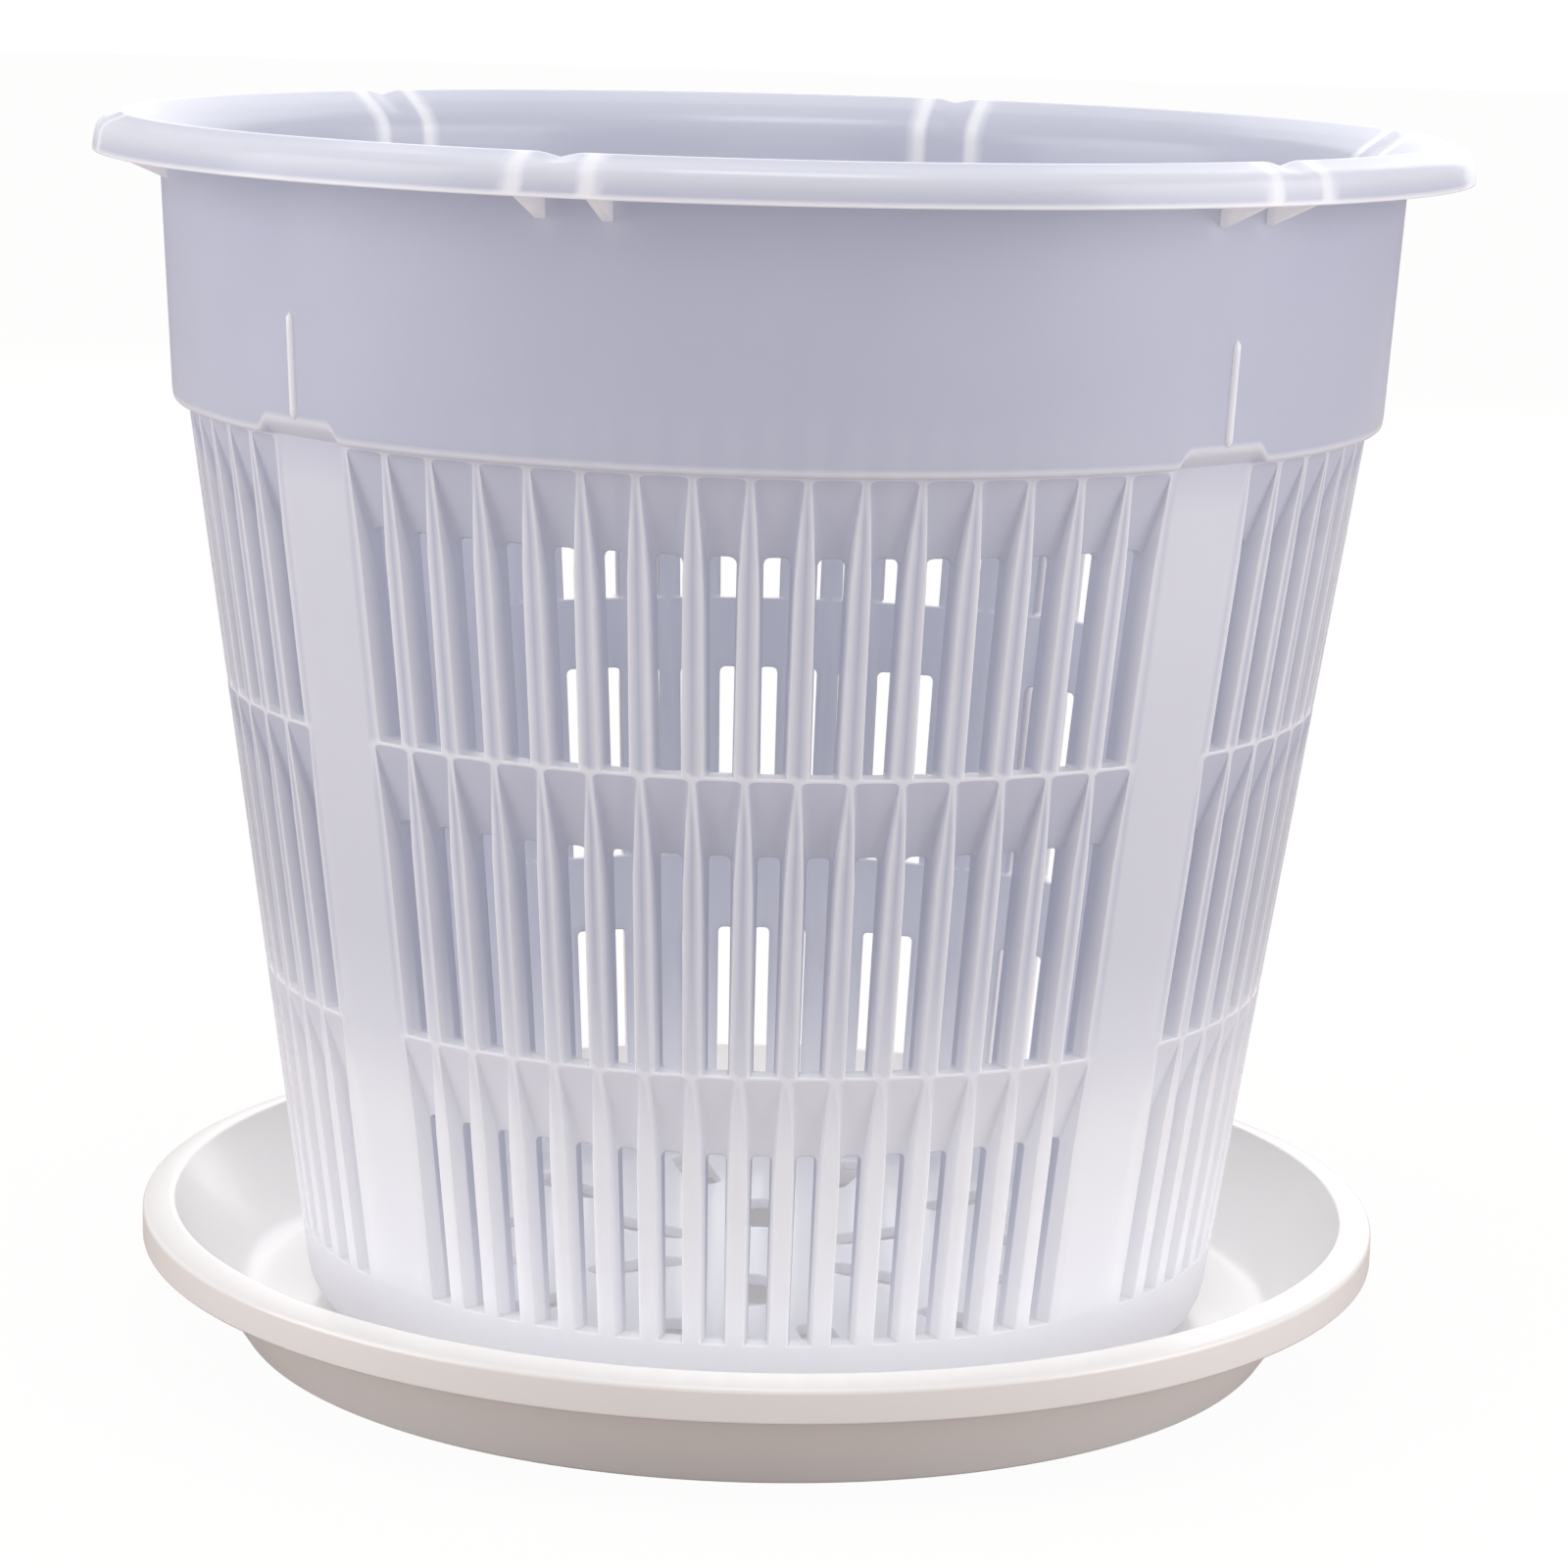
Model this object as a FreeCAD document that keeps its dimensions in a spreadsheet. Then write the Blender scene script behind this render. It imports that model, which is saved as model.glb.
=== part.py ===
import FreeCAD, Part
import Sketcher
import math
import os
import re

# Slotted orchid pot standing in its drip saucer, in millimetres.
# Both pieces are single injection mouldings of polypropylene.
# +Z is up, the origin is under the centre of the saucer's foot, the front is -Y.

doc = FreeCAD.newDocument("OrchidPot")

# Driving sizes: alias, value, meaning.
DRIVING_SIZES = [
    ("rim_diameter", "163.6", "outside of the rim's skirt, at its bottom edge"),
    ("rim_overhang", "7.8", "from the top of the collar's outer wall out to the skirt's edge"),
    ("rim_height", "4.6", "from the skirt's bottom edge up to the crest"),
    ("skirt_flare", "0.5", "how far the skirt spreads from its top to its bottom edge"),
    ("crest_setback", "3.8", "from the skirt's edge in to the crest"),
    ("roll_drop", "1.3", "how far the rim's top falls from the crest to the skirt"),
    ("mouth_drop", "3.6", "how far the mouth's funnel falls from the crest to the collar"),
    ("rim_wall", "1.3", "thickness of the rim's roll and skirt"),
    ("roll_radius", "2.0", "round between the rim's top and the skirt"),
    ("crest_radius", "0.5", "round on the crest"),
    ("mouth_radius", "2.0", "round where the funnel meets the collar"),
    ("collar_height", "29.1", "from the shoulder up to the skirt's bottom edge"),
    ("collar_flare", "1.7", "how far the collar widens from bottom to top"),
    ("collar_wall", "1.2", "thickness of the collar"),
    ("shoulder_step", "1.7", "from the collar in to the top of the slotted wall"),
    ("shoulder_radius", "1.0", "round on the collar's lower corner"),
    ("wall_depth", "3.1", "depth of the ribs, from the outer cone to the inner cone"),
    ("web_thickness", "1.1", "thickness of the plain wall just above a slot"),
    ("wall_taper_angle", "7.95", "slope of the slotted wall from upright, in degrees"),
    ("upper_tier_height", "33.5", "from the first ledge up to the shoulder"),
    ("middle_tier_height", "34.5", "from the second ledge up to the first"),
    ("lower_tier_height", "32.4", "from the bottom ledge up to the second"),
    ("upper_web_height", "9.2", "plain wall above the upper slots"),
    ("middle_web_height", "9.3", "plain wall above the middle slots"),
    ("lower_web_height", "9.9", "plain wall above the lower slots"),
    ("base_band_height", "9.9", "plain band below the lower slots"),
    ("base_radius", "4.5", "round between the base and the wall"),
    ("floor_thickness", "1.4", "thickness of the pot's floor"),
    ("floor_lift", "2.6", "from the foot's underside up to the floor's underside"),
    ("foot_width", "5.0", "width of the ring that the pot stands on"),
    ("floor_radius", "2.5", "round between the floor and the wall, inside"),
    ("upper_slot_width", "2.65", "upper slots at the inner cone, at half their height"),
    ("upper_slot_draft", "1.4", "how much wider the upper slots are at the outer cone"),
    ("middle_slot_width", "2.3", "middle slots at the inner cone, at half their height"),
    ("middle_slot_draft", "1.3", "how much wider the middle slots are at the outer cone"),
    ("lower_slot_width", "1.95", "lower slots at the inner cone, at half their height"),
    ("lower_slot_draft", "1.15", "how much wider the lower slots are at the outer cone"),
    ("sides", "4", "groups of slots round the wall"),
    ("side_slots", "16", "slots in each group"),
    ("stave_slots", "2", "slots that the plain stave between two groups replaces"),
    ("stave_head_rise", "1.6", "how far the collar's lower edge steps up over a stave"),
    ("stave_head_angle", "10.4", "angle that the step in the collar's edge spans"),
    ("mark_gap", "2.1", "from the shoulder up to the bottom of the bead over a stave"),
    ("mark_height", "12.0", "height of the bead over a stave"),
    ("mark_width", "1.0", "width of the bead"),
    ("mark_relief", "0.4", "how far the bead stands out of the collar"),
    ("notches", "6", "dips in the crest, each between two webs"),
    ("notch_width", "4.6", "width of a dip in the crest"),
    ("notch_depth", "0.6", "depth of a dip in the crest"),
    ("notch_angle", "45", "angle from the front to the first dip, in degrees"),
    ("gusset_spacing_angle", "5.8", "angle between the two webs beside a dip"),
    ("gusset_thickness", "1.2", "thickness of a web under the rim"),
    ("gusset_drop", "2.7", "how far a web runs down the collar below the skirt's edge"),
    ("outer_drain_start", "30.0", "inner end of the outer drain slots, from the axis"),
    ("outer_drain_length", "14.0", "length of the outer drain slots"),
    ("outer_drain_width", "4.4", "width of the outer drain slots"),
    ("outer_drains", "12", "drain slots in the outer ring"),
    ("inner_drain_start", "10.0", "inner end of the inner drain slots, from the axis"),
    ("inner_drain_length", "13.0", "length of the inner drain slots"),
    ("inner_drain_width", "4.4", "width of the inner drain slots"),
    ("inner_drains", "6", "drain slots in the inner ring"),
    ("saucer_margin", "8.2", "from the pot's base out to the edge of the saucer's floor"),
    ("saucer_wall", "1.6", "thickness of the saucer's floor and wall"),
    ("saucer_height", "16.0", "from the foot up to the saucer's top inner edge"),
    ("saucer_wall_run", "8.9", "how far the saucer's wall leans out from floor to top"),
    ("saucer_foot_height", "0.8", "height of the ring under the saucer"),
    ("saucer_foot_width", "4.0", "width of the ring under the saucer"),
    ("saucer_lip_width", "3.7", "width of the saucer's top face"),
    ("saucer_lip_fall", "0.85", "how far the saucer's top face falls to its outer edge"),
    ("saucer_lip_height", "4.0", "height of the saucer's outer edge face"),
    ("saucer_lip_wall", "1.3", "thickness of the saucer's lip"),
    ("saucer_seat_rise", "1.4", "how far the pot's seat stands above the saucer's floor"),
    ("saucer_seat_margin", "3.0", "from the pot's base in to the edge of its seat"),
    ("saucer_corner_radius", "2.0", "round between the saucer's floor and wall"),
    ("saucer_edge_radius", "0.45", "round on the saucer's outer top edge"),
    ("cut_overrun", "0.1", "how far cutting shapes run past the faces that they cut"),
]

# Sizes that follow from the driving ones, measured from the pot's own foot.
WORKED_SIZES = [
    ("taper", "tan(wall_taper_angle)"),
    ("slot_angle", "360 / (sides * (side_slots + stave_slots))"),
    ("lower_ledge", "base_band_height"),
    ("middle_ledge", "lower_ledge + lower_tier_height"),
    ("upper_ledge", "middle_ledge + middle_tier_height"),
    ("shoulder", "upper_ledge + upper_tier_height"),
    ("skirt_bottom", "shoulder + collar_height"),
    ("crest", "skirt_bottom + rim_height"),
    ("mouth_bottom", "crest - mouth_drop"),
    ("rim_edge", "rim_diameter / 2"),
    ("skirt_top", "rim_edge - skirt_flare"),
    ("crest_ring", "rim_edge - crest_setback"),
    ("collar_top", "rim_edge - rim_overhang"),
    ("collar_bottom", "collar_top - collar_flare"),
    ("collar_slope", "collar_flare / collar_height"),
    ("cone_top", "collar_bottom - shoulder_step"),
    ("base_edge", "cone_top - shoulder * taper"),
    ("floor_top", "floor_lift + floor_thickness"),
    ("seat_height", "saucer_foot_height + saucer_wall + saucer_seat_rise"),
    ("saucer_floor", "saucer_foot_height + saucer_wall"),
    ("saucer_floor_edge", "base_edge + saucer_margin"),
    ("saucer_slope", "saucer_wall_run / (saucer_height - saucer_floor)"),
    ("saucer_wall_span", "saucer_wall * sqrt(1 + saucer_slope ^ 2)"),
    ("saucer_mouth", "saucer_floor_edge + saucer_wall_run"),
    ("saucer_edge", "saucer_mouth + saucer_lip_width"),
    ("saucer_foot_edge", "saucer_floor_edge - saucer_floor * saucer_slope + saucer_wall_span"),
    ("saucer_lip_top", "saucer_height - saucer_lip_fall"),
    ("saucer_lip_inside", "saucer_height - saucer_lip_fall - saucer_lip_wall"),
]


def fill_sheet(name, rows):
    """A spreadsheet with one named value to a row."""
    sheet = doc.addObject("Spreadsheet::Sheet", name)
    for number, (alias, content, note) in enumerate(rows, start=1):
        sheet.set("A%d" % number, content)
        sheet.setAlias("A%d" % number, alias)
        sheet.set("B%d" % number, note)
    return sheet


sheet_of_name = {alias: "Sizes" for alias, value, note in DRIVING_SIZES}
sheet_of_name.update({alias: "Worked" for alias, formula in WORKED_SIZES})


def bound(text):
    """The expression with each size's name led by the sheet that holds it."""
    def full_name(match):
        word = match.group(0)
        return sheet_of_name[word] + "." + word if word in sheet_of_name else word
    return re.sub(r"[a-z_]+", full_name, text)


sizes = fill_sheet("Sizes", DRIVING_SIZES)
doc.recompute()
worked = fill_sheet("Worked", [(alias, "=" + bound(formula), "worked out") for alias, formula in WORKED_SIZES])
doc.recompute()


def value(text):
    """What an expression in named sizes comes to at the moment."""
    return float(sizes.evalExpression(bound(text)))


def origin_item(body, role):
    """The body's own origin plane or axis with this role."""
    return [item for item in body.Origin.OriginFeatures if item.Role == role][0]


def turned_sketch(body, name, role, angle="0", reach="0"):
    """A sketch on an upright origin plane of the body, turned about Z by angle and moved out by reach."""
    sketch = body.newObject("Sketcher::SketchObject", name)
    sketch.AttachmentSupport = [(origin_item(body, role), "")]
    sketch.MapMode = "FlatFace"
    upright = FreeCAD.Vector(0, 1, 0)
    sketch.AttachmentOffset = FreeCAD.Placement(FreeCAD.Vector(), FreeCAD.Rotation(upright, value(angle)))
    sketch.setExpression("AttachmentOffset.Rotation.Angle", bound(angle))
    sketch.setExpression("AttachmentOffset.Base.x", bound("(%s) * sin(%s)" % (reach, angle)))
    sketch.setExpression("AttachmentOffset.Base.z", bound("(%s) * cos(%s)" % (reach, angle)))
    return sketch


def draw_outline(sketch, corners):
    """Close an outline through corners, each (across, up) or (across, up, radius) before a round."""
    places = [FreeCAD.Vector(value(corner[0]), value(corner[1]), 0) for corner in corners]
    count = len(corners)
    for index, corner in enumerate(corners):
        start = places[index]
        end = places[(index + 1) % count]
        if len(corner) == 3:
            sketch.addGeometry(round_between(start, end, value(corner[2])))
        else:
            sketch.addGeometry(Part.LineSegment(start, end))
    for index, corner in enumerate(corners):
        sketch.addConstraint(Sketcher.Constraint("Coincident", index, 2, (index + 1) % count, 1))
        for kind, text in (("DistanceX", corner[0]), ("DistanceY", corner[1])):
            pin_down(sketch, Sketcher.Constraint(kind, -1, 1, index, 1, value(text)), text)
        if len(corner) == 3:
            pin_down(sketch, Sketcher.Constraint("Radius", index, value(corner[2])), corner[2])


def pin_down(sketch, constraint, text):
    """Add a constraint whose size follows the expression."""
    number = sketch.addConstraint(constraint)
    sketch.setExpression("Constraints[%d]" % number, bound(text))


def round_between(start, end, radius):
    """The short arc from start to end that turns left round its centre."""
    chord = end - start
    middle = (start + end) * 0.5
    left = FreeCAD.Vector(-chord.y, chord.x, 0).normalize()
    rise = math.sqrt(max(radius ** 2 - (chord.Length / 2) ** 2, 0))
    centre = middle + left * rise
    circle = Part.Circle(centre, FreeCAD.Vector(0, 0, 1), radius)
    return Part.ArcOfCircle(circle, circle.parameter(start), circle.parameter(end))


def finish(body, feature):
    """Make a feature the body's tip and work it out, with its faces left as they were cut."""
    feature.Refine = False
    body.Tip = feature
    doc.recompute()
    return feature


def revolve(body, name, corners):
    """A full turn of the outline, drawn as (distance from the axis, height)."""
    sketch = turned_sketch(body, name + "_outline", "XZ_Plane")
    draw_outline(sketch, corners)
    turned = body.newObject("PartDesign::Revolution", name)
    turned.Profile = sketch
    turned.ReferenceAxis = (sketch, ["V_Axis"])
    turned.Angle = 360
    return finish(body, turned)


def round_rings(body, name, radius, rings):
    """Round the circular edges that lie at each (distance from the axis, height)."""
    base = body.Tip
    wanted = [(value(across), value(up)) for across, up in rings]
    names = []
    for number, edge in enumerate(base.Shape.Edges, start=1):
        curve = edge.Curve
        if not isinstance(curve, Part.Circle):
            continue
        for across, up in wanted:
            if math.isclose(curve.Radius, across, rel_tol=1e-6) and abs(curve.Center.z - up) < curve.Radius / 1e6:
                names.append("Edge%d" % number)
    if len(names) != len(rings):
        raise RuntimeError("%s found %d of %d edges" % (name, len(names), len(rings)))
    rounded = body.newObject("PartDesign::Fillet", name)
    rounded.Base = (base, names)
    rounded.setExpression("Radius", bound(radius))
    return finish(body, rounded)


def repeat(body, name, originals, turns):
    """Repeat features, or with none the whole body, about Z by each (angle, count) in turn."""
    pattern = body.newObject("PartDesign::MultiTransform", name)
    if not originals:
        pattern.TransformMode = "Whole shape"
    steps = []
    for number, (angle, count) in enumerate(turns, start=1):
        step = doc.addObject("PartDesign::PolarPattern", "%s_step_%d" % (name, number))
        body.addObject(step)
        step.Axis = (origin_item(body, "Z_Axis"), [""])
        step.setExpression("Angle", bound(angle))
        step.setExpression("Occurrences", bound(count))
        steps.append(step)
    pattern.Originals = originals
    pattern.Transformations = steps
    return finish(body, pattern)


def build_saucer():
    """The drip saucer: a seat for the pot, a leaning wall and a turned-down lip."""
    body = doc.addObject("PartDesign::Body", "Saucer")
    body.Label = "saucer"
    seat_edge = "base_edge - saucer_seat_margin"
    under_lip = "saucer_floor_edge + (saucer_lip_inside - saucer_floor) * saucer_slope + saucer_wall_span"
    revolve(body, "saucer_form", [
        ("0", "saucer_foot_height"),
        ("saucer_foot_edge - saucer_foot_width", "saucer_foot_height"),
        ("saucer_foot_edge - saucer_foot_width", "0"),
        ("saucer_foot_edge", "0"),
        (under_lip, "saucer_lip_inside"),
        ("saucer_edge - saucer_lip_wall", "saucer_lip_inside - saucer_lip_fall * saucer_lip_wall / saucer_lip_width"),
        ("saucer_edge - saucer_lip_wall", "saucer_lip_top - saucer_lip_height"),
        ("saucer_edge", "saucer_lip_top - saucer_lip_height"),
        ("saucer_edge", "saucer_lip_top"),
        ("saucer_mouth", "saucer_height"),
        ("saucer_floor_edge", "saucer_floor"),
        (seat_edge, "saucer_floor"),
        (seat_edge, "seat_height"),
        ("0", "seat_height"),
    ])
    round_rings(body, "floor_round", "saucer_corner_radius", [("saucer_floor_edge", "saucer_floor")])
    round_rings(body, "lip_round", "saucer_edge_radius", [
        ("saucer_edge", "saucer_lip_top"),
        ("saucer_mouth", "saucer_height"),
        ("saucer_foot_edge", "0"),
        (seat_edge, "seat_height"),
    ])
    return body


def build_form(body):
    """The pot before anything is cut: base, slotted wall, shoulder, collar and rim in one outline."""
    foot_inside = "base_edge - base_radius - foot_width"
    inner_shoulder = "shoulder + collar_wall"
    flange_foot = "mouth_bottom - rim_wall + mouth_drop * collar_wall / (crest_ring - collar_top + collar_wall)"
    revolve(body, "pot_form", [
        ("0", "floor_lift"),
        (foot_inside, "floor_lift"),
        (foot_inside, "0"),
        ("base_edge", "0"),
        ("cone_top", "shoulder"),
        ("collar_bottom", "shoulder"),
        ("collar_top", flange_foot),
        ("crest_ring", "crest - rim_wall"),
        ("skirt_top - rim_wall", "crest - roll_drop - rim_wall"),
        ("rim_edge - rim_wall", "skirt_bottom"),
        ("rim_edge", "skirt_bottom"),
        ("skirt_top", "crest - roll_drop"),
        ("crest_ring", "crest"),
        ("collar_top - collar_wall", "mouth_bottom"),
        ("collar_bottom - collar_wall", inner_shoulder),
        ("cone_top + collar_wall * taper - wall_depth", inner_shoulder),
        ("base_edge + floor_top * taper - wall_depth", "floor_top"),
        ("0", "floor_top"),
    ])
    round_rings(body, "base_round", "base_radius", [("base_edge", "0")])
    round_rings(body, "inner_floor_round", "floor_radius", [
        ("base_edge + floor_top * taper - wall_depth", "floor_top")])
    round_rings(body, "shoulder_round", "shoulder_radius", [("collar_bottom", "shoulder")])
    round_rings(body, "roll_round", "roll_radius", [("skirt_top", "crest - roll_drop")])
    round_rings(body, "mouth_round", "mouth_radius", [("collar_top - collar_wall", "mouth_bottom")])
    round_rings(body, "crest_round", "crest_radius", [("crest_ring", "crest")])


def add_wedge(body, name, angle, sides):
    """A block with flat faces between two upright rectangles, each (reach from the axis, width, low, high)."""
    wedge = body.newObject("PartDesign::AdditiveWedge", name)
    wedge.AttachmentSupport = [(origin_item(body, "XY_Plane"), "")]
    wedge.MapMode = "FlatFace"
    upright = FreeCAD.Vector(0, 0, 1)
    wedge.AttachmentOffset = FreeCAD.Placement(FreeCAD.Vector(), FreeCAD.Rotation(upright, value(angle)))
    wedge.setExpression("AttachmentOffset.Rotation.Angle", bound(angle))
    near, far = sides
    faces = []
    for (reach, width, low, high), end in ((near, ("Ymin", "Xmin", "Xmax", "Zmin", "Zmax")),
                                           (far, ("Ymax", "X2min", "X2max", "Z2min", "Z2max"))):
        faces += zip(end, (reach, "-(%s) / 2" % width, "(%s) / 2" % width, low, high))
    for field, text in sorted(faces, key=lambda face: "max" not in face[0]):
        setattr(wedge, field, value(text))
    for field, text in faces:
        wedge.setExpression(field, bound(text))
    return finish(body, wedge)


def add_slot_core(body, tier, ledge, top):
    """The space of one slot: a window from its ledge to its web, then a recess whose roof leans out."""
    web_bottom = "%s - %s_web_height" % (top, tier)
    inner_at = "cone_top - wall_depth - (shoulder - (%s)) * taper"
    web_reach = inner_at % web_bottom + " + web_thickness"
    inner_reach = inner_at % ledge + " - cut_overrun"
    outer_reach = "cone_top - (shoulder - (%s)) * taper + cut_overrun" % top
    draft = "%s_slot_draft / wall_depth" % tier
    middle = "((%s) + (%s)) / 2" % (inner_at % ledge, inner_at % web_bottom)

    def width_at(reach):
        return "%s_slot_width + %s * (%s - %s)" % (tier, draft, reach, middle)

    first_angle = "-slot_angle * (side_slots - 1) / 2"
    add_wedge(body, "%s_window" % tier, first_angle, [
        (inner_reach, width_at(inner_reach), ledge, web_bottom),
        (web_reach, width_at(web_reach), ledge, web_bottom)])
    add_wedge(body, "%s_recess" % tier, first_angle, [
        (web_reach, width_at(web_reach), ledge, web_bottom),
        (outer_reach, width_at(outer_reach), ledge, top + " - cut_overrun")])


def build_slot_cores():
    """The spaces of all the slots, as the mould's cores fill them: three tiers in four groups."""
    body = doc.addObject("PartDesign::Body", "SlotCores")
    body.AllowCompound = True
    add_slot_core(body, "upper", "upper_ledge", "shoulder")
    add_slot_core(body, "middle", "middle_ledge", "upper_ledge")
    add_slot_core(body, "lower", "lower_ledge", "middle_ledge")
    repeat(body, "slots", [], [("slot_angle * (side_slots - 1)", "side_slots"), ("360", "sides")])
    return body


def cut_stave_heads(body):
    """Over each plain stave the collar's lower edge steps up to a bevel."""
    angle = "180 / sides"
    sketch = turned_sketch(body, "stave_head_outline", "XZ_Plane", "-90 + " + angle)
    draw_outline(sketch, [
        ("cone_top", "shoulder - cut_overrun"),
        ("collar_top", "shoulder - cut_overrun"),
        ("collar_top", "shoulder + stave_head_rise"),
        ("collar_bottom - cut_overrun", "shoulder + stave_head_rise"),
        ("cone_top", "shoulder"),
    ])
    head = body.newObject("PartDesign::Groove", "stave_head")
    head.Profile = sketch
    head.ReferenceAxis = (sketch, ["V_Axis"])
    head.Midplane = True
    head.setExpression("Angle", bound("stave_head_angle"))
    finish(body, head)
    repeat(body, "stave_heads", [head], [("360", "sides")])


def add_marks(body):
    """A thin upright bead on the collar over each stave."""
    low = "shoulder + mark_gap"
    high = "shoulder + mark_gap + mark_height"
    face = "collar_bottom + (%s - shoulder) * collar_slope"
    sketch = turned_sketch(body, "mark_outline", "XZ_Plane", "-90 + 180 / sides")
    draw_outline(sketch, [
        (face % ("(%s)" % low) + " - collar_wall / 2", low),
        (face % ("(%s)" % low) + " + mark_relief", low),
        (face % ("(%s)" % high) + " + mark_relief", high + " - mark_relief"),
        (face % ("(%s)" % high), high),
        (face % ("(%s)" % high) + " - collar_wall / 2", high),
    ])
    mark = body.newObject("PartDesign::Pad", "mark")
    mark.Profile = sketch
    mark.Midplane = True
    mark.setExpression("Length", bound("mark_width"))
    finish(body, mark)
    repeat(body, "marks", [mark], [("360", "sides")])


def add_gussets(body):
    """Pairs of radial webs that tie the rim's roll and skirt to the collar."""
    into = "rim_wall / 2"
    collar_face = "collar_top - collar_slope * gusset_drop - collar_wall / 2"
    sketch = turned_sketch(
        body, "gusset_outline", "XZ_Plane", "-90 + notch_angle - gusset_spacing_angle / 2")
    draw_outline(sketch, [
        (collar_face, "skirt_bottom - gusset_drop"),
        ("collar_top - collar_slope * gusset_drop", "skirt_bottom - gusset_drop"),
        ("rim_edge - rim_wall", "skirt_bottom"),
        ("skirt_top - %s" % into, "crest - roll_drop - rim_wall"),
        ("crest_ring", "crest - %s" % into),
        (collar_face, "mouth_bottom - %s" % into),
    ])
    gusset = body.newObject("PartDesign::Pad", "gusset")
    gusset.Profile = sketch
    gusset.Midplane = True
    gusset.setExpression("Length", bound("gusset_thickness"))
    finish(body, gusset)
    repeat(body, "gussets", [gusset], [("gusset_spacing_angle", "2"), ("360", "notches")])


def cut_notches(body):
    """Shallow dips across the crest, one between the webs of each pair."""
    dip_radius = "(notch_width ^ 2 / 4 + notch_depth ^ 2) / (2 * notch_depth)"
    sketch = turned_sketch(body, "notch_outline", "XZ_Plane", "notch_angle", "crest_ring")
    half = "notch_width / 2"
    draw_outline(sketch, [
        ("-" + half, "crest", dip_radius),
        (half, "crest"),
        (half, "crest + notch_depth"),
        ("-" + half, "crest + notch_depth"),
    ])
    notch = body.newObject("PartDesign::Pocket", "notch")
    notch.Profile = sketch
    notch.Midplane = True
    notch.setExpression("Length", bound("2 * crest_setback"))
    finish(body, notch)
    repeat(body, "crest_notches", [notch], [("360", "notches")])


def cut_drains(body, ring, start_angle):
    """A ring of round-ended radial slots through the floor."""
    start = "%s_drain_start" % ring
    half = "%s_drain_width / 2" % ring
    inner_end = "%s + %s" % (start, half)
    outer_end = "%s + %s_drain_length - %s" % (start, ring, half)
    sketch = body.newObject("Sketcher::SketchObject", "%s_drain_outline" % ring)
    sketch.AttachmentSupport = [(origin_item(body, "XY_Plane"), "")]
    sketch.MapMode = "FlatFace"
    turn = FreeCAD.Rotation(FreeCAD.Vector(0, 0, 1), value(start_angle))
    sketch.AttachmentOffset = FreeCAD.Placement(FreeCAD.Vector(), turn)
    sketch.setExpression("AttachmentOffset.Rotation.Angle", bound(start_angle))
    sketch.setExpression("AttachmentOffset.Base.z", bound("floor_top + cut_overrun"))
    draw_outline(sketch, [
        (inner_end, "-" + half),
        (outer_end, "-" + half, half),
        (outer_end + " + " + half, "0", half),
        (outer_end, half),
        (inner_end, half, half),
        (start, "0", half),
    ])
    drain = body.newObject("PartDesign::Pocket", "%s_drain" % ring)
    drain.Profile = sketch
    drain.setExpression("Length", bound("floor_thickness + 2 * cut_overrun"))
    finish(body, drain)
    repeat(body, "%s_drains" % ring, [drain], [("360", "%s_drains" % ring)])


def build_pot():
    """The pot: three tiers of slots in a tapering wall, under a plain collar with a rolled rim."""
    body = doc.addObject("PartDesign::Body", "Pot")
    body.Label = "slotted_pot"
    build_form(body)
    add_gussets(body)
    cut_notches(body)
    cut_stave_heads(body)
    add_marks(body)
    cut_drains(body, "outer", "180 / outer_drains")
    cut_drains(body, "inner", "90")
    slots = body.newObject("PartDesign::Boolean", "slotted_wall")
    slots.Type = "Cut"
    slots.addObject(build_slot_cores())
    finish(body, slots)
    body.setExpression("Placement.Base.z", bound("seat_height"))
    return body


pieces = [build_saucer(), build_pot()]
doc.recompute()

for item in doc.Objects:
    if "Invalid" in item.State or "Error" in item.State:
        raise RuntimeError("%s did not build: %s" % (item.Name, item.State))
for piece in pieces:
    if piece.Shape.isNull() or not piece.Shape.isValid():
        raise RuntimeError("%s has no valid shape" % piece.Label)
    if len(piece.Shape.Solids) != 1:
        raise RuntimeError("%s is not one solid" % piece.Label)

os.makedirs("parts", exist_ok=True)
for piece in pieces:
    piece.Shape.exportStep("parts/%s.step" % piece.Label)
    print(piece.Label, "volume", round(piece.Shape.Volume), "faces", len(piece.Shape.Faces))
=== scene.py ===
"""Looks of a slotted orchid pot in its saucer: every surface is computed from the sizes below."""
import math

import bmesh
import bpy
import numpy as np
from mathutils import Matrix, Vector


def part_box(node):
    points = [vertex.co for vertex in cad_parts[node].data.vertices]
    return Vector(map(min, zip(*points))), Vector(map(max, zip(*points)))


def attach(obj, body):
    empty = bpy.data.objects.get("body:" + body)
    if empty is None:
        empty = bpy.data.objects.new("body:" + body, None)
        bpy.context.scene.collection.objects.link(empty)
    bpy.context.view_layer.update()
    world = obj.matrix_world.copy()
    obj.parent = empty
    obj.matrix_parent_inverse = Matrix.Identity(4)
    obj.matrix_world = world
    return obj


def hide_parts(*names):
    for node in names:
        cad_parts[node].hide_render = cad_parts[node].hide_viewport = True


bl_info = {
    "name": "Slotted Orchid Pot",
    "version": (1, 0, 0),
    "blender": (4, 5, 0),
    "location": "View3D > Sidebar > Orchid Pot",
    "description": "Builds a slotted orchid pot in its saucer, with materials and a studio",
    "category": "Add Mesh",
}

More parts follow.
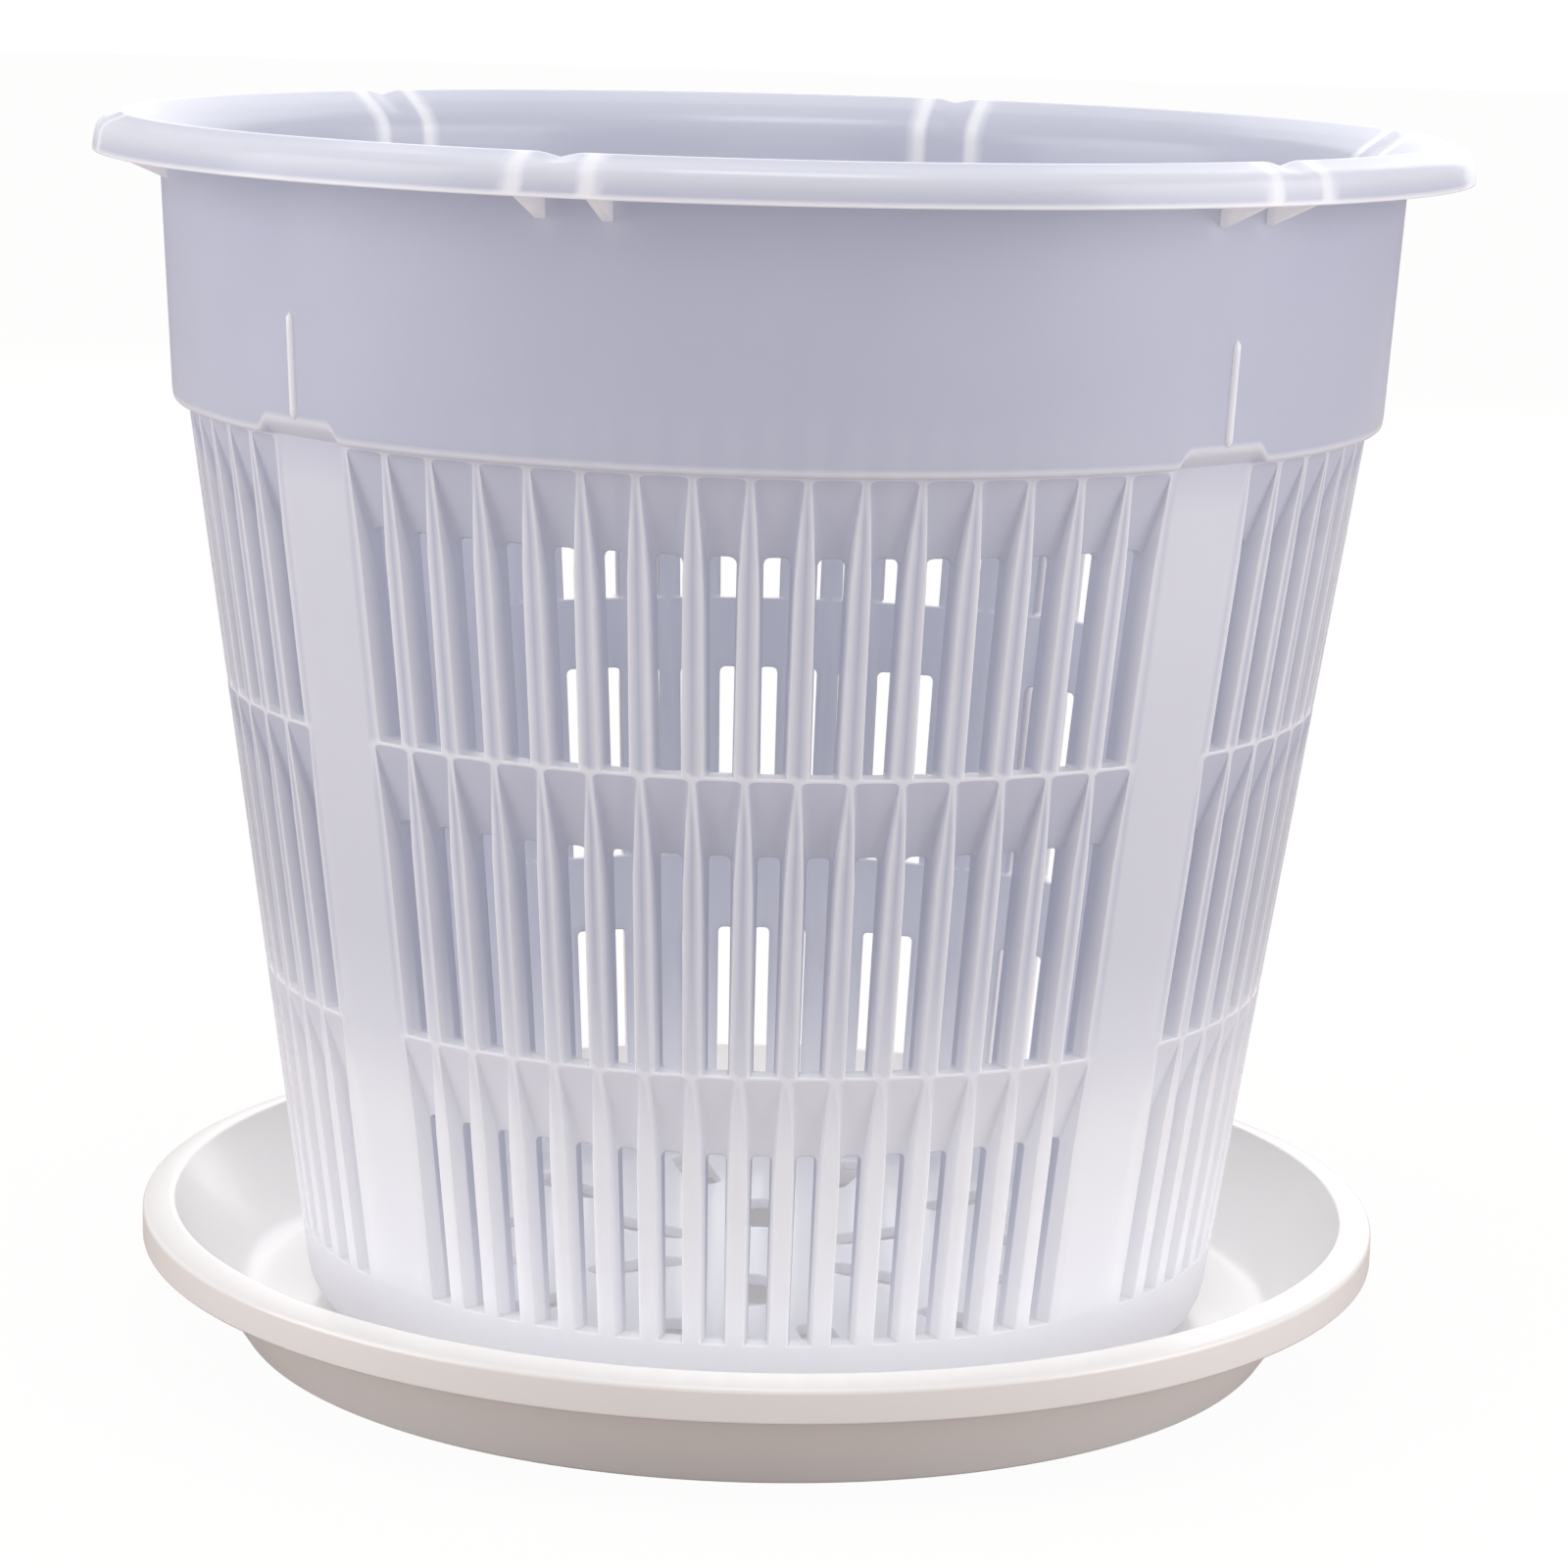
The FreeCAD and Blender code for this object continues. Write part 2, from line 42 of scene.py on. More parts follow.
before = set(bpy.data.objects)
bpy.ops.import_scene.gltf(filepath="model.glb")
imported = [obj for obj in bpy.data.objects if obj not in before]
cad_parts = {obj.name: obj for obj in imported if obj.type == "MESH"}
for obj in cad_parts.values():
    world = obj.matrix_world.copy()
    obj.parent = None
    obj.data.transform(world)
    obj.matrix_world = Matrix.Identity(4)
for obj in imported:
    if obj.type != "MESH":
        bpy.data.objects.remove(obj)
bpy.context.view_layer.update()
POT_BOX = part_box("slotted_pot")
SAUCER_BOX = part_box("saucer")

MM = 0.001

# The slotted wall: groups of slots, and between two groups a plain stave as wide as two cells.
# A cell is one slot with half a rib on each side.
GROUPS = 4
SLOTS_IN_GROUP = 16
STAVE_CELLS = 2
CELLS_ROUND = GROUPS * (SLOTS_IN_GROUP + STAVE_CELLS)
SLOT_CELL_ANGLE = 2 * math.pi / CELLS_ROUND
GROUP_TURN = 2 * math.pi / GROUPS
CELL_COLUMNS = 8
COLUMNS = CELLS_ROUND * CELL_COLUMNS
CORNER_STEPS = 3
# Steps of the rounds at a slot's opening, at its middle and at its inner edge.
CELL_STEPS = [2, 1, 2]
SIDE_SHARES = np.array([0.0, 0.02, 0.35, 0.68, 0.85, 1.0])
SIDE_STEPS = len(SIDE_SHARES) - 1
OPENING_CORNER = 0.5 * MM
MIDDLE_CORNER_SHARE = 0.30
INSIDE_CORNER_SHARE = 0.32
MIDDLE_ROUND_SHARE = 0.7
# Above FLARE_START of its height, a slot's opening widens by up to FLARE_SHARE of the radius.
FLARE_START = 0.68
FLARE_SHARE = 0.014

# A round reaches at most this share of the shorter side beside it.
ROUND_LIMIT_SHARE = 0.45

# Just above its lower edge the collar leans out over a narrow band, and the skirt leans in.
COLLAR_BAND_LEAN, COLLAR_BAND_HEIGHT = 0.15 * MM, 1.2 * MM
SKIRT_BAND_LEAN, SKIRT_BAND_HEIGHT = 0.1 * MM, 0.8 * MM
CREST_LINE = 0.5 * MM
CREST_FALL_SHARE = 0.3
UNDER_DIP_SHARE = 0.5
COLLAR_INSIDE_SHARE = 1.2
# Below the mouth, where the webs' bars of painted light end inside the collar, and where they have
# faded.
BAR_END = 4.5 * MM
BAR_FADE_END = 6 * MM
BAR_FADE_LEAN = 0.1 * MM

# What stands over the staves and at the rim's dips.
STAVE_START = math.radians(45)
HEAD_HALF_WIDTH = math.radians(5.2)
HEAD_BLEND = math.radians(1.3)
NOTCHES = 6
DIP_FLAT_SHARE = 0.35
DIP_BLEND_SHARE = 1.3
GUSSET_OFFSET = math.radians(2.9)
GUSSET_DROP = 2.7 * MM
GUSSET_THICKNESS = 1.2 * MM
GUSSET_EDGE_ROUND = 0.15 * MM
GUSSET_MIDDLE_SHARE = 0.999
GUSSET_BITE_SHARE = 0.5
GUSSET_CREST_SHARE = 1.3
GUSSET_CREST_GAP = 0.3 * MM
GUSSET_SKIRT_GAP = 0.1 * MM
BAR_HALF_WIDTH = math.radians(0.85)
BAR_BLEND = math.radians(0.4)
BEAD_LIFT = 2.1 * MM
BEAD_HEIGHT = 12.0 * MM
BEAD_RELIEF = 0.4 * MM
BEAD_WIDTH = 1.0 * MM
BEAD_END = 0.6 * BEAD_WIDTH
BEAD_TIP_SHARE = 0.01
BEAD_SUNK_SHARE = 0.4
BEAD_ROWS = 19
BEAD_COLUMNS = 20

# The pot's base and floor.
FOOT_EDGE_ROUND = 0.5 * MM
FLOOR_FILLET = 2.5 * MM
FLOOR_MARGIN = 1.5 * MM
FLOOR_MIDDLE_RADIUS = 27.0 * MM
FLOOR_MIDDLE_COLUMNS = COLUMNS // 2
FLOOR_CENTRE_RADIUS = 7.0 * MM
FLOOR_CENTRE_COLUMNS = 72
DRAIN_WIDTH = 4.4 * MM
DRAIN_EDGE_ROUND = 0.25 * MM
DRAIN_SIDE_STEPS = 5
OUTER_DRAINS = 12
OUTER_DRAIN_START, OUTER_DRAIN_END = 30.0 * MM, 44.0 * MM
INNER_DRAINS = 6
INNER_DRAIN_START, INNER_DRAIN_END = 10.0 * MM, 23.0 * MM

SAUCER_COLUMNS = 360
WELD = 0.004 * MM
GUSSET_WELD = 0.002 * MM
BEAD_WELD = 0.001 * MM
FACE_AREA_WEIGHT = 60

# Painted light and painted glow, from 0 to 1: whitening that stands in for highlights and lit faces,
# and emission that stands in for light coming through the plastic.
PAINTED_LIGHT_ATTRIBUTE = "painted_light"
GLOW_ATTRIBUTE = "painted_glow"
# Two lists of three are for a slot's opening, its middle and its inner edge, as in CELL_STEPS.
# Painted highlights on the ribs' fronts and painted light on the ledges' lit faces.
RIB_WHITENESS = [0.85, 0.1, 0.1]
LEDGE_WHITENESS = [1.0, 0.9, 0.6]
# The web over a slot is the top of the rows between the opening's round and the inner edge's; painted
# light lightens it.
WEB_WHITENESS = 0.2
WEB_ROWS = slice(2, 7)
# Painted light and painted glow on the staves' outer faces and on the webs under the rim, which show
# through it as bars.
STAVE_WHITENESS = 0.65
STAVE_GLOW = 0.2
BAR_WHITENESS = 0.9
BAR_GLOW = 0.45
# The skirt's line and the ribs' edges get painted glow where their painted light is above these.
WHITE_LINE = 0.9
SKIRT_LINE_GLOW = 0.7
RIB_EDGE = 0.8
RIB_EDGE_GLOW = 0.25
# Painted glow low on the wall, where light from the white saucer shows through, and on the base,
# floor, beads and saucer's seat.
WALL_FOOT_GLOW = 0.9
FOOT_GLOW_START_OUTSIDE = 68 * MM
FOOT_GLOW_START_INSIDE = 37 * MM
FOOT_GLOW_BLEND = 38 * MM
BASE_GLOW = 0.85
BASE_INSIDE_GLOW = 0.3
FLOOR_GLOW = 0.7
BEAD_GLOW = 0.8
SEAT_GLOW = 0.45

# The plastics' clouds, specks and shine.
CLOUD_SCALE = 22.0
CLOUD_START = 0.4
CLOUD_GAIN = 1.2
SPECK_SCALE = 900.0
SPECK_STRENGTH = 0.05
SPECK_DEPTH = 0.2 * MM
# How far painted light and painted glow whiten the colour, and the painted glow's colour.
PAINTED_LIGHT_SHARE = 0.85
PAINTED_GLOW_SHARE = 0.9
PAINTED_GLOW_COLOUR = (1.0, 0.96, 0.92, 1)
NO_LIGHT = (0, 0, 0, 1)
ROUGHNESS = 0.24
CLOUD_ROUGHNESS = 0.14
REFRACTION = 1.49
COAT_ROUGHNESS = 0.1

# The studio. Each light's name, place, target, size and power.
MIDDLE = (0.0, 0.0, 0.08)
LIGHTS = (
    ("left_light", (-0.95, -0.3, 0.35), MIDDLE, 0.8, 7.5),
    ("right_light", (0.95, -0.25, 0.25), MIDDLE, 0.8, 8.2),
    ("top_light", (0.0, -0.2, 0.9), MIDDLE, 0.3, 2.0),
    ("back_light", (0.1, 0.9, 0.5), MIDDLE, 0.9, 4.5),
    ("low_light", (0.05, -1.0, 0.14), (0.0, 0.0, 0.03), 0.5, 0.8),
)
FLOOR_HALF = 4.0
FLOOR_COLOUR = (0.36, 0.295, 0.27, 1)
FLOOR_SEEN = (1.06, 1.06, 1.06, 1)
FLOOR_SEEN_SHARE = 0.9
WORLD_STRENGTH = 0.95
WORLD_SEEN_STRENGTH = 1.05
SENSOR_WIDTH = 36.0


def length(name, millimetres, description):
    """A length property whose default is given in millimetres."""
    return bpy.props.FloatProperty(
        name=name, default=millimetres * MM, min=0.0, unit="LENGTH", precision=5,
        description=description)


def colour(name, value, description):
    """A colour property, in linear red, green, blue and alpha."""
    return bpy.props.FloatVectorProperty(
        name=name, default=value + (1.0,), size=4, min=0.0, max=1.0, subtype="COLOR",
        description=description)


class OrchidPotSizes(bpy.types.PropertyGroup):
    """Sizes of the slotted pot."""
    rim_overhang: length("Rim overhang", 7.8, "From the collar's top out to the skirt's edge")
    rim_height: length("Rim height", 4.6, "From the skirt's bottom edge to the crest")
    skirt_flare: length("Skirt flare", 0.5, "How far the skirt spreads downward")
    crest_setback: length("Crest setback", 3.8, "From the skirt's edge in to the crest")
    roll_drop: length("Roll drop", 1.3, "Fall of the rim's top from the crest to the skirt")
    mouth_drop: length("Mouth drop", 3.6, "Fall of the funnel from the crest to the collar")
    rim_wall: length("Rim wall", 1.3, "Thickness of the rim")
    collar_wall: length("Collar wall", 1.2, "Thickness of the collar")
    collar_flare: length("Collar flare", 1.7, "Widening of the collar from bottom to top")
    shoulder_step: length("Shoulder step", 1.7, "From the collar in to the slotted wall")
    shoulder_height: length("Shoulder height", 110.3, "From the pot's foot up to the shoulder")
    upper_ledge: length("Upper ledge", 76.8, "From the pot's foot up to the upper ledge")
    middle_ledge: length("Middle ledge", 42.3, "From the pot's foot up to the middle ledge")
    lower_ledge: length("Lower ledge", 9.9, "From the pot's foot up to the lower ledge")
    wall_depth: length("Wall depth", 3.1, "Depth of the ribs")
    web: length("Web", 1.1, "Thickness of the plain wall just above a slot")
    land: length("Land", 0.4, "Upright edge face of each ledge")
    edge_round: length("Edge round", 0.24, "Round on the moulded edges")
    stave_head_rise: length("Stave head rise", 1.6, "Step of the collar's edge over a stave")
    notch_width: length("Notch width", 5.4, "Width of a dip in the crest")
    notch_depth: length("Notch depth", 0.6, "Depth of a dip in the crest")
    base_round: length("Base round", 4.5, "Round between base and wall")
    floor_lift: length("Floor lift", 2.6, "From the foot up to the floor's underside")
    floor_thickness: length("Floor thickness", 1.4, "Thickness of the floor")
    foot_width: length("Foot width", 5.0, "Width of the ring that the pot stands on")
    taper: bpy.props.FloatProperty(
        name="Taper", default=math.radians(7.95), subtype="ANGLE",
        description="Slope of the slotted wall")


class OrchidSaucerSizes(bpy.types.PropertyGroup):
    """Sizes of the saucer."""
    wall: length("Wall", 1.6, "Thickness of floor and wall")
    foot_height: length("Foot height", 0.8, "Height of the ring under the saucer")
    foot_width: length("Foot width", 4.0, "Width of the ring under the saucer")
    wall_run: length("Wall run", 8.9, "How far the wall leans out")
    lip_width: length("Lip width", 3.7, "Width of the top face")
    lip_fall: length("Lip fall", 0.85, "Fall of the top face to its outer edge")
    lip_height: length("Lip height", 4.0, "Height of the lip's outer face")
    lip_wall: length("Lip wall", 1.3, "Thickness of the lip")
    seat_radius: length("Seat radius", 52.2, "Radius of the raised seat")
    seat_rise: length("Seat rise", 1.4, "Rise of the seat above the floor")


class OrchidColours(bpy.types.PropertyGroup):
    """Colours of the two plastics, and the white of their painted light."""
    pot_body: colour("Pot", (0.53, 0.55, 0.65), "Milky plastic of the pot")
    pot_pale: colour("Pot, pale", (0.64, 0.655, 0.73), "Pale clouds in the pot's plastic")
    saucer_body: colour("Saucer", (0.63, 0.605, 0.595), "White plastic of the saucer")
    saucer_pale: colour("Saucer, pale", (0.67, 0.645, 0.635), "Pale clouds in the saucer's plastic")
    # The white that painted light mixes in, on edges, ledges, webs, staves and under the rim.
    painted_light: colour("Thin edge", (0.87, 0.865, 0.875), "Whitening of thin moulded edges")


class OrchidStudioSettings(bpy.types.PropertyGroup):
    """Where the camera stands and how it looks."""
    camera_distance: length("Camera distance", 549.2, "From the pot's axis to the camera, level")
    camera_height: length("Camera height", 174.7, "Height of the camera above the floor")
    camera_lens: bpy.props.FloatProperty(
        name="Lens", default=104.8, description="Focal length in millimetres")
    camera_pitch: bpy.props.FloatProperty(
        name="Pitch", default=0.1933, subtype="ANGLE", description="How far the camera looks down")
    camera_roll: bpy.props.FloatProperty(
        name="Roll", default=0.0258, subtype="ANGLE",
        description="Tilt of the camera about its own axis")
    camera_turn: bpy.props.FloatProperty(
        name="Turn", default=math.radians(2.18), subtype="ANGLE",
        description="Camera's place round the pot")
    camera_shift: bpy.props.FloatProperty(
        name="Shift", default=0.0102, description="Sideways shift of the lens")


def place(radius, angle, height):
    """Points from radius, angle and height: x = radius sin angle, y = -radius cos angle."""
    radius, angle, height = np.broadcast_arrays(radius, angle, height)
    return np.stack([radius * np.sin(angle), -radius * np.cos(angle), height], axis=-1)


def rounded_rows(keys, radii, steps):
    """Rows of points along key rows, each inner corner replaced by a quadratic curve.

    keys is (rows, columns, 3). The curve at corner P starts at A and ends at B, both at radius from
    P, or at ROUND_LIMIT_SHARE of the shorter side, and runs through (1-t)^2 A + 2t(1-t) P + t^2 B
    for t from 0 to 1.
    """
    rows = [keys[0]]
    for index in range(1, len(keys) - 1):
        before = keys[index - 1] - keys[index]
        after = keys[index + 1] - keys[index]
        size_before = np.linalg.norm(before, axis=-1, keepdims=True)
        size_after = np.linalg.norm(after, axis=-1, keepdims=True)
        limit = ROUND_LIMIT_SHARE * np.minimum(size_before, size_after)
        reach = np.minimum(radii[index - 1], limit)
        start = keys[index] + before / size_before * reach
        end = keys[index] + after / size_after * reach
        for t in np.linspace(0.0, 1.0, steps[index - 1] + 1):
            rows.append((1 - t) ** 2 * start + 2 * t * (1 - t) * keys[index] + t ** 2 * end)
    rows.append(keys[-1])
    return np.array(rows)


def profile_rows(corners, angles):
    """A profile carried round the axis: its rows of points, and the value of each row.

    A corner is its distance from the axis, height, reach of its round and steps of its round, then
    any number of further values, which come back as one column of rows each.
    """
    keys = np.array([place(corner[0], angles, corner[1]) for corner in corners])
    _, _, radii, steps, *values = zip(*corners[1:-1])
    return rounded_rows(keys, radii, steps), [corner_rows(each, steps)[:, None] for each in values]


def corner_rows(marks, steps):
    """One mark to a row of rounded_rows: a corner's rows share its mark, and the ends have none."""
    rows = [0.0]
    for mark, count in zip(marks, steps):
        rows += [mark] * (count + 1)
    return np.array(rows + [0.0])


class Shell:
    """Collects grids of points and joins them into one closed mesh."""

    def __init__(self):
        self.points = []
        self.quads = []
        self.marks = []
        self.glows = []
        self.count = 0

    def add_grid(self, grid, wrap=False, marks=0.0, glow=0.0):
        """Quads between neighbouring rows and columns; wrap joins the last column to the first.

        marks is how strongly each point is whitened by painted light, such as painted highlights on
        edges and lit ledges, and glow how much painted glow it gets, emission that stands in for light
        through the plastic.
        """
        rows, columns = grid.shape[:2]
        self.marks.append(np.broadcast_to(marks, (rows, columns)).ravel())
        self.glows.append(np.broadcast_to(glow, (rows, columns)).ravel())
        index = np.arange(rows * columns).reshape(rows, columns) + self.count
        across = np.roll(index, -1, axis=1) if wrap else index[:, 1:]
        here = index if wrap else index[:, :-1]
        quads = np.stack([here[:-1], across[:-1], across[1:], here[1:]], axis=-1)
        self.points.append(grid.reshape(-1, 3))
        self.quads.append(quads.reshape(-1, 4))
        self.count += rows * columns

    def make_object(self, name, weld=WELD):
        """The joined mesh object, its faces outward and points within weld of each other merged."""
        points = np.concatenate(self.points)
        quads = np.concatenate(self.quads)
        mesh = bpy.data.meshes.new(name)
        mesh.vertices.add(len(points))
        mesh.vertices.foreach_set("co", points.astype(np.float32).ravel())
        mesh.loops.add(quads.size)
        mesh.loops.foreach_set("vertex_index", quads.astype(np.int32).ravel())
        mesh.polygons.add(len(quads))
        mesh.polygons.foreach_set("loop_start", np.arange(0, quads.size, 4, dtype=np.int32))
        mesh.update(calc_edges=True)
        # Points that will be welded first share the mean of their values.
        _, shared, counts = np.unique(
            np.round(points / weld), axis=0, return_inverse=True, return_counts=True)
        shared = shared.ravel()
        for attribute, values in ((PAINTED_LIGHT_ATTRIBUTE, self.marks), (GLOW_ATTRIBUTE, self.glows)):
            mean = np.bincount(shared, weights=np.concatenate(values)) / counts
            layer = mesh.attributes.new(attribute, "FLOAT", "POINT")
            layer.data.foreach_set("value", mean[shared].astype(np.float32))
        work = bmesh.new()
        work.from_mesh(mesh)
        bmesh.ops.remove_doubles(work, verts=work.verts, dist=weld)
        bmesh.ops.dissolve_degenerate(work, edges=work.edges, dist=weld / 4)
        bmesh.ops.recalc_face_normals(work, faces=work.faces)
        if work.calc_volume(signed=True) < 0:
            bmesh.ops.reverse_faces(work, faces=work.faces)
        open_edges = sum(not edge.is_manifold for edge in work.edges)
        if open_edges:
            print(name, "has", open_edges, "open edges")
        for face in work.faces:
            face.smooth = True
        work.to_mesh(mesh)
        work.free()
        piece = bpy.data.objects.new(name, mesh)
        bpy.context.collection.objects.link(piece)
        weighted = piece.modifiers.new("Weighted normals", "WEIGHTED_NORMAL")
        weighted.weight = FACE_AREA_WEIGHT
        return piece


class PotForm:
    """Radii and heights that follow from the pot's sizes and the frame's box."""

    def __init__(self, sizes):
        self.sizes = sizes
        self.foot = POT_BOX[0].z
        self.crest = POT_BOX[1].z
        self.rim_edge = POT_BOX[1].x
        self.shoulder = self.foot + sizes.shoulder_height
        self.ledges = [self.foot + value
                       for value in (sizes.lower_ledge, sizes.middle_ledge, sizes.upper_ledge)]
        self.tops = self.ledges[1:] + [self.shoulder]
        self.skirt_bottom = self.crest - sizes.rim_height
        self.crest_ring = self.rim_edge - sizes.crest_setback
        self.skirt_top = self.rim_edge - sizes.skirt_flare
        self.roll_top = self.crest - sizes.roll_drop
        self.mouth_bottom = self.crest - sizes.mouth_drop
        self.collar_top = self.rim_edge - sizes.rim_overhang
        self.collar_bottom = self.collar_top - sizes.collar_flare
        self.cone_top = self.collar_bottom - sizes.shoulder_step
        self.floor_top = self.foot + sizes.floor_lift + sizes.floor_thickness

    def outer(self, height):
        """Radius of the outer cone: the top's, less tan taper times the depth below the top."""
        return self.cone_top - (self.shoulder - height) * math.tan(self.sizes.taper)

    def inner(self, height):
        """Radius of the inner cone: the outer one's, less the wall's depth."""
        return self.outer(height) - self.sizes.wall_depth


# For each tier from the bottom: web height, then a slot's widths at ledge and top, first on the
# inner face and then on the outer one.
TIER_SHAPES = [
    (9.9 * MM, 1.9 * MM, 1.95 * MM, 2.9 * MM, 3.3 * MM),
    (9.3 * MM, 2.2 * MM, 2.4 * MM, 3.2 * MM, 3.9 * MM),
    (9.2 * MM, 2.4 * MM, 2.85 * MM, 3.3 * MM, 4.15 * MM),
]


def slot_loop(low, high, width_low, width_high, corner, flare=0.0):
    """A closed loop round a slot: (sideways, up) from the bottom left, along the ledge and round.

    Its width is low + (high - low) t + flare max(0, (t - start) / (1 - start)), where t runs from 0
    at the ledge to 1 at the upper corners, and these two are quarter circles.
    """
    bottom = np.linspace(-0.5, 0.5, CELL_COLUMNS + 1) * width_low
    loop = [(side, low) for side in bottom]
    rise = SIDE_SHARES[1:]
    top_of_side = high - corner
    spread = flare * np.clip((rise - FLARE_START) / (1 - FLARE_START), 0.0, 1.0)
    right = [(0.5 * (width_low + (width_high - width_low) * t + more),
              low + (top_of_side - low) * t) for t, more in zip(rise, spread)]
    width_high += flare
    turns = np.linspace(0.0, math.pi / 2, CORNER_STEPS + 1)[1:]
    half = 0.5 * width_high - corner
    right_corner = [(half + corner * math.cos(a), top_of_side + corner * math.sin(a))
                    for a in turns]
    top_steps = CELL_COLUMNS - 2 * CORNER_STEPS
    top = [(half * (1 - 2 * t), high) for t in np.linspace(0.0, 1.0, top_steps + 1)[1:]]
    left_corner = [(-side, up) for side, up in reversed(right_corner[:-1])]
    left_corner.append((-0.5 * width_high, top_of_side))
    left = [(-side, up) for side, up in reversed(right[:-1])]
    return np.array(loop + right + right_corner + top + left_corner + left)


def cell_loop(low, high):
    """The loop round a cell's edge: (share of the cell's angle, height), in slot_loop's order."""
    across = np.linspace(-0.5, 0.5, CELL_COLUMNS + 1)
    loop = [(side, low) for side in across]
    loop += [(0.5, low + (high - low) * t) for t in SIDE_SHARES[1:]]
    loop += [(side, high) for side in across[::-1][1:]]
    loop += [(-0.5, low + (high - low) * t) for t in SIDE_SHARES[::-1][1:-1]]
    return np.array(loop)


def slot_cell(form, tier):
    """One slot with half a rib on each side, as rows from the outer face to the inner one.

    Each row is a loop: the cell's edge, the opening, the slot's middle, its inner edge and the
    cell's edge again, with a round on the three between, and widths that change evenly with depth.
    """
    sizes = form.sizes
    web_height, in_low, in_high, out_low, out_high = TIER_SHAPES[tier]
    ledge = form.ledges[tier]
    top = form.tops[tier]
    slot_top = top - web_height
    edge = cell_loop(ledge - sizes.land / 2, top - sizes.land / 2)
    share = sizes.web / sizes.wall_depth
    mid_low = in_low + (out_low - in_low) * share
    mid_high = in_high + (out_high - in_high) * share
    flare = FLARE_SHARE * form.outer(top)
    opening = slot_loop(ledge, top - sizes.land, out_low, out_high, OPENING_CORNER, flare)
    middle = slot_loop(ledge, slot_top, mid_low, mid_high, MIDDLE_CORNER_SHARE * mid_high)
    inside = slot_loop(ledge, slot_top, in_low, in_high, INSIDE_CORNER_SHARE * in_high)
    keys = [place(form.outer(edge[:, 1]), edge[:, 0] * SLOT_CELL_ANGLE, edge[:, 1])]
    for loop, radius in (
            (opening, form.outer(opening[:, 1])),
            (middle, form.inner(middle[:, 1]) + sizes.web),
            (inside, form.inner(inside[:, 1]))):
        keys.append(place(radius, loop[:, 0] / radius, loop[:, 1]))
    keys.append(place(form.inner(edge[:, 1]), edge[:, 0] * SLOT_CELL_ANGLE, edge[:, 1]))
    radii = [sizes.edge_round, sizes.edge_round * MIDDLE_ROUND_SHARE, sizes.edge_round]
    return rounded_rows(np.array(keys), radii, CELL_STEPS)


def foot_glow(height, start=FOOT_GLOW_START_OUTSIDE):
    """Painted glow: 1 low on the pot, where light from the white saucer shows through, and 0 above
    start.

    Between, it is 3t^2 - 2t^3, where t is the depth below start as a share of the blend.
    """
    t = np.clip((start - height) / FOOT_GLOW_BLEND, 0.0, 1.0)
    return t * t * (3 - 2 * t)


def slot_marks():
    """How much painted light whitens each point of a slot's cell: the most on the ledge, less on the
    ribs.
    """
    loop = np.arange(3 * CELL_COLUMNS + 2)
    on_ledge = loop <= CELL_COLUMNS
    top_start = CELL_COLUMNS + SIDE_STEPS
    at_top = (loop >= top_start) & (loop <= top_start + CELL_COLUMNS)
    rib = corner_rows(RIB_WHITENESS, CELL_STEPS)[:, None] * np.ones(len(loop))
    ledge = corner_rows(LEDGE_WHITENESS, CELL_STEPS)[:, None] * on_ledge
    ledge[0] = on_ledge | at_top
    marks = np.maximum(rib, ledge)
    marks[WEB_ROWS] = np.where(at_top, WEB_WHITENESS, marks[WEB_ROWS])
    return marks


def turned(points, angle):
    """The points turned about the axis: x = x cos a - y sin a, y = x sin a + y cos a."""
    cosine, sine = math.cos(angle), math.sin(angle)
    x = points[..., 0] * cosine - points[..., 1] * sine
    y = points[..., 0] * sine + points[..., 1] * cosine
    return np.stack([x, y, points[..., 2]], axis=-1)


def add_slotted_wall(shell, form):
    """Three tiers of slots in four groups, with a plain stave between two groups.

    One cell of each tier is turned to every slot's place; a stave is two cones, outer and inner.
    """
    sizes = form.sizes
    marks = slot_marks()
    outer_rows = np.arange(len(marks)) < len(marks) // 2
    # Painted glow: low on the wall, where light from the saucer shows through, and on the ribs' edges.
    glow_start = np.where(outer_rows, FOOT_GLOW_START_OUTSIDE, FOOT_GLOW_START_INSIDE)[:, None]
    for tier in range(len(TIER_SHAPES)):
        cell = slot_cell(form, tier)
        glow = np.maximum(WALL_FOOT_GLOW * foot_glow(cell[..., 2], glow_start),
                          RIB_EDGE_GLOW * (marks > RIB_EDGE))
        for group in range(GROUPS):
            for slot in range(SLOTS_IN_GROUP):
                turn = group * GROUP_TURN + (slot - (SLOTS_IN_GROUP - 1) / 2) * SLOT_CELL_ANGLE
                shell.add_grid(turned(cell, turn), wrap=True, marks=marks, glow=glow)
    stave_angle = STAVE_CELLS * SLOT_CELL_ANGLE
    across = np.linspace(-0.5, 0.5, STAVE_CELLS * CELL_COLUMNS + 1) * stave_angle
    heights = []
    for ledge, top in zip(form.ledges, form.tops):
        low, high = ledge - sizes.land / 2, top - sizes.land / 2
        heights += [low + (high - low) * t for t in SIDE_SHARES]
    heights = np.array(heights)[:, None]
    for centre in stave_angles():
        angles = across[None, :] + centre
        # The stave's outer face gets painted light and painted glow.
        shell.add_grid(place(form.outer(heights), angles, heights), marks=STAVE_WHITENESS,
                       glow=np.maximum(foot_glow(heights), STAVE_GLOW))
        shell.add_grid(place(form.inner(heights), angles, heights))


def near(angles, centres, half_width, blend):
    """1 near any centre and 0 far from all: 3t^2 - 2t^3 across a blend centred on half_width."""
    offsets = [np.abs((angles - c + math.pi) % (2 * math.pi) - math.pi) for c in centres]
    offset = np.min(offsets, axis=0)
    t = np.clip((half_width + blend / 2 - offset) / blend, 0.0, 1.0)
    return t * t * (3 - 2 * t)


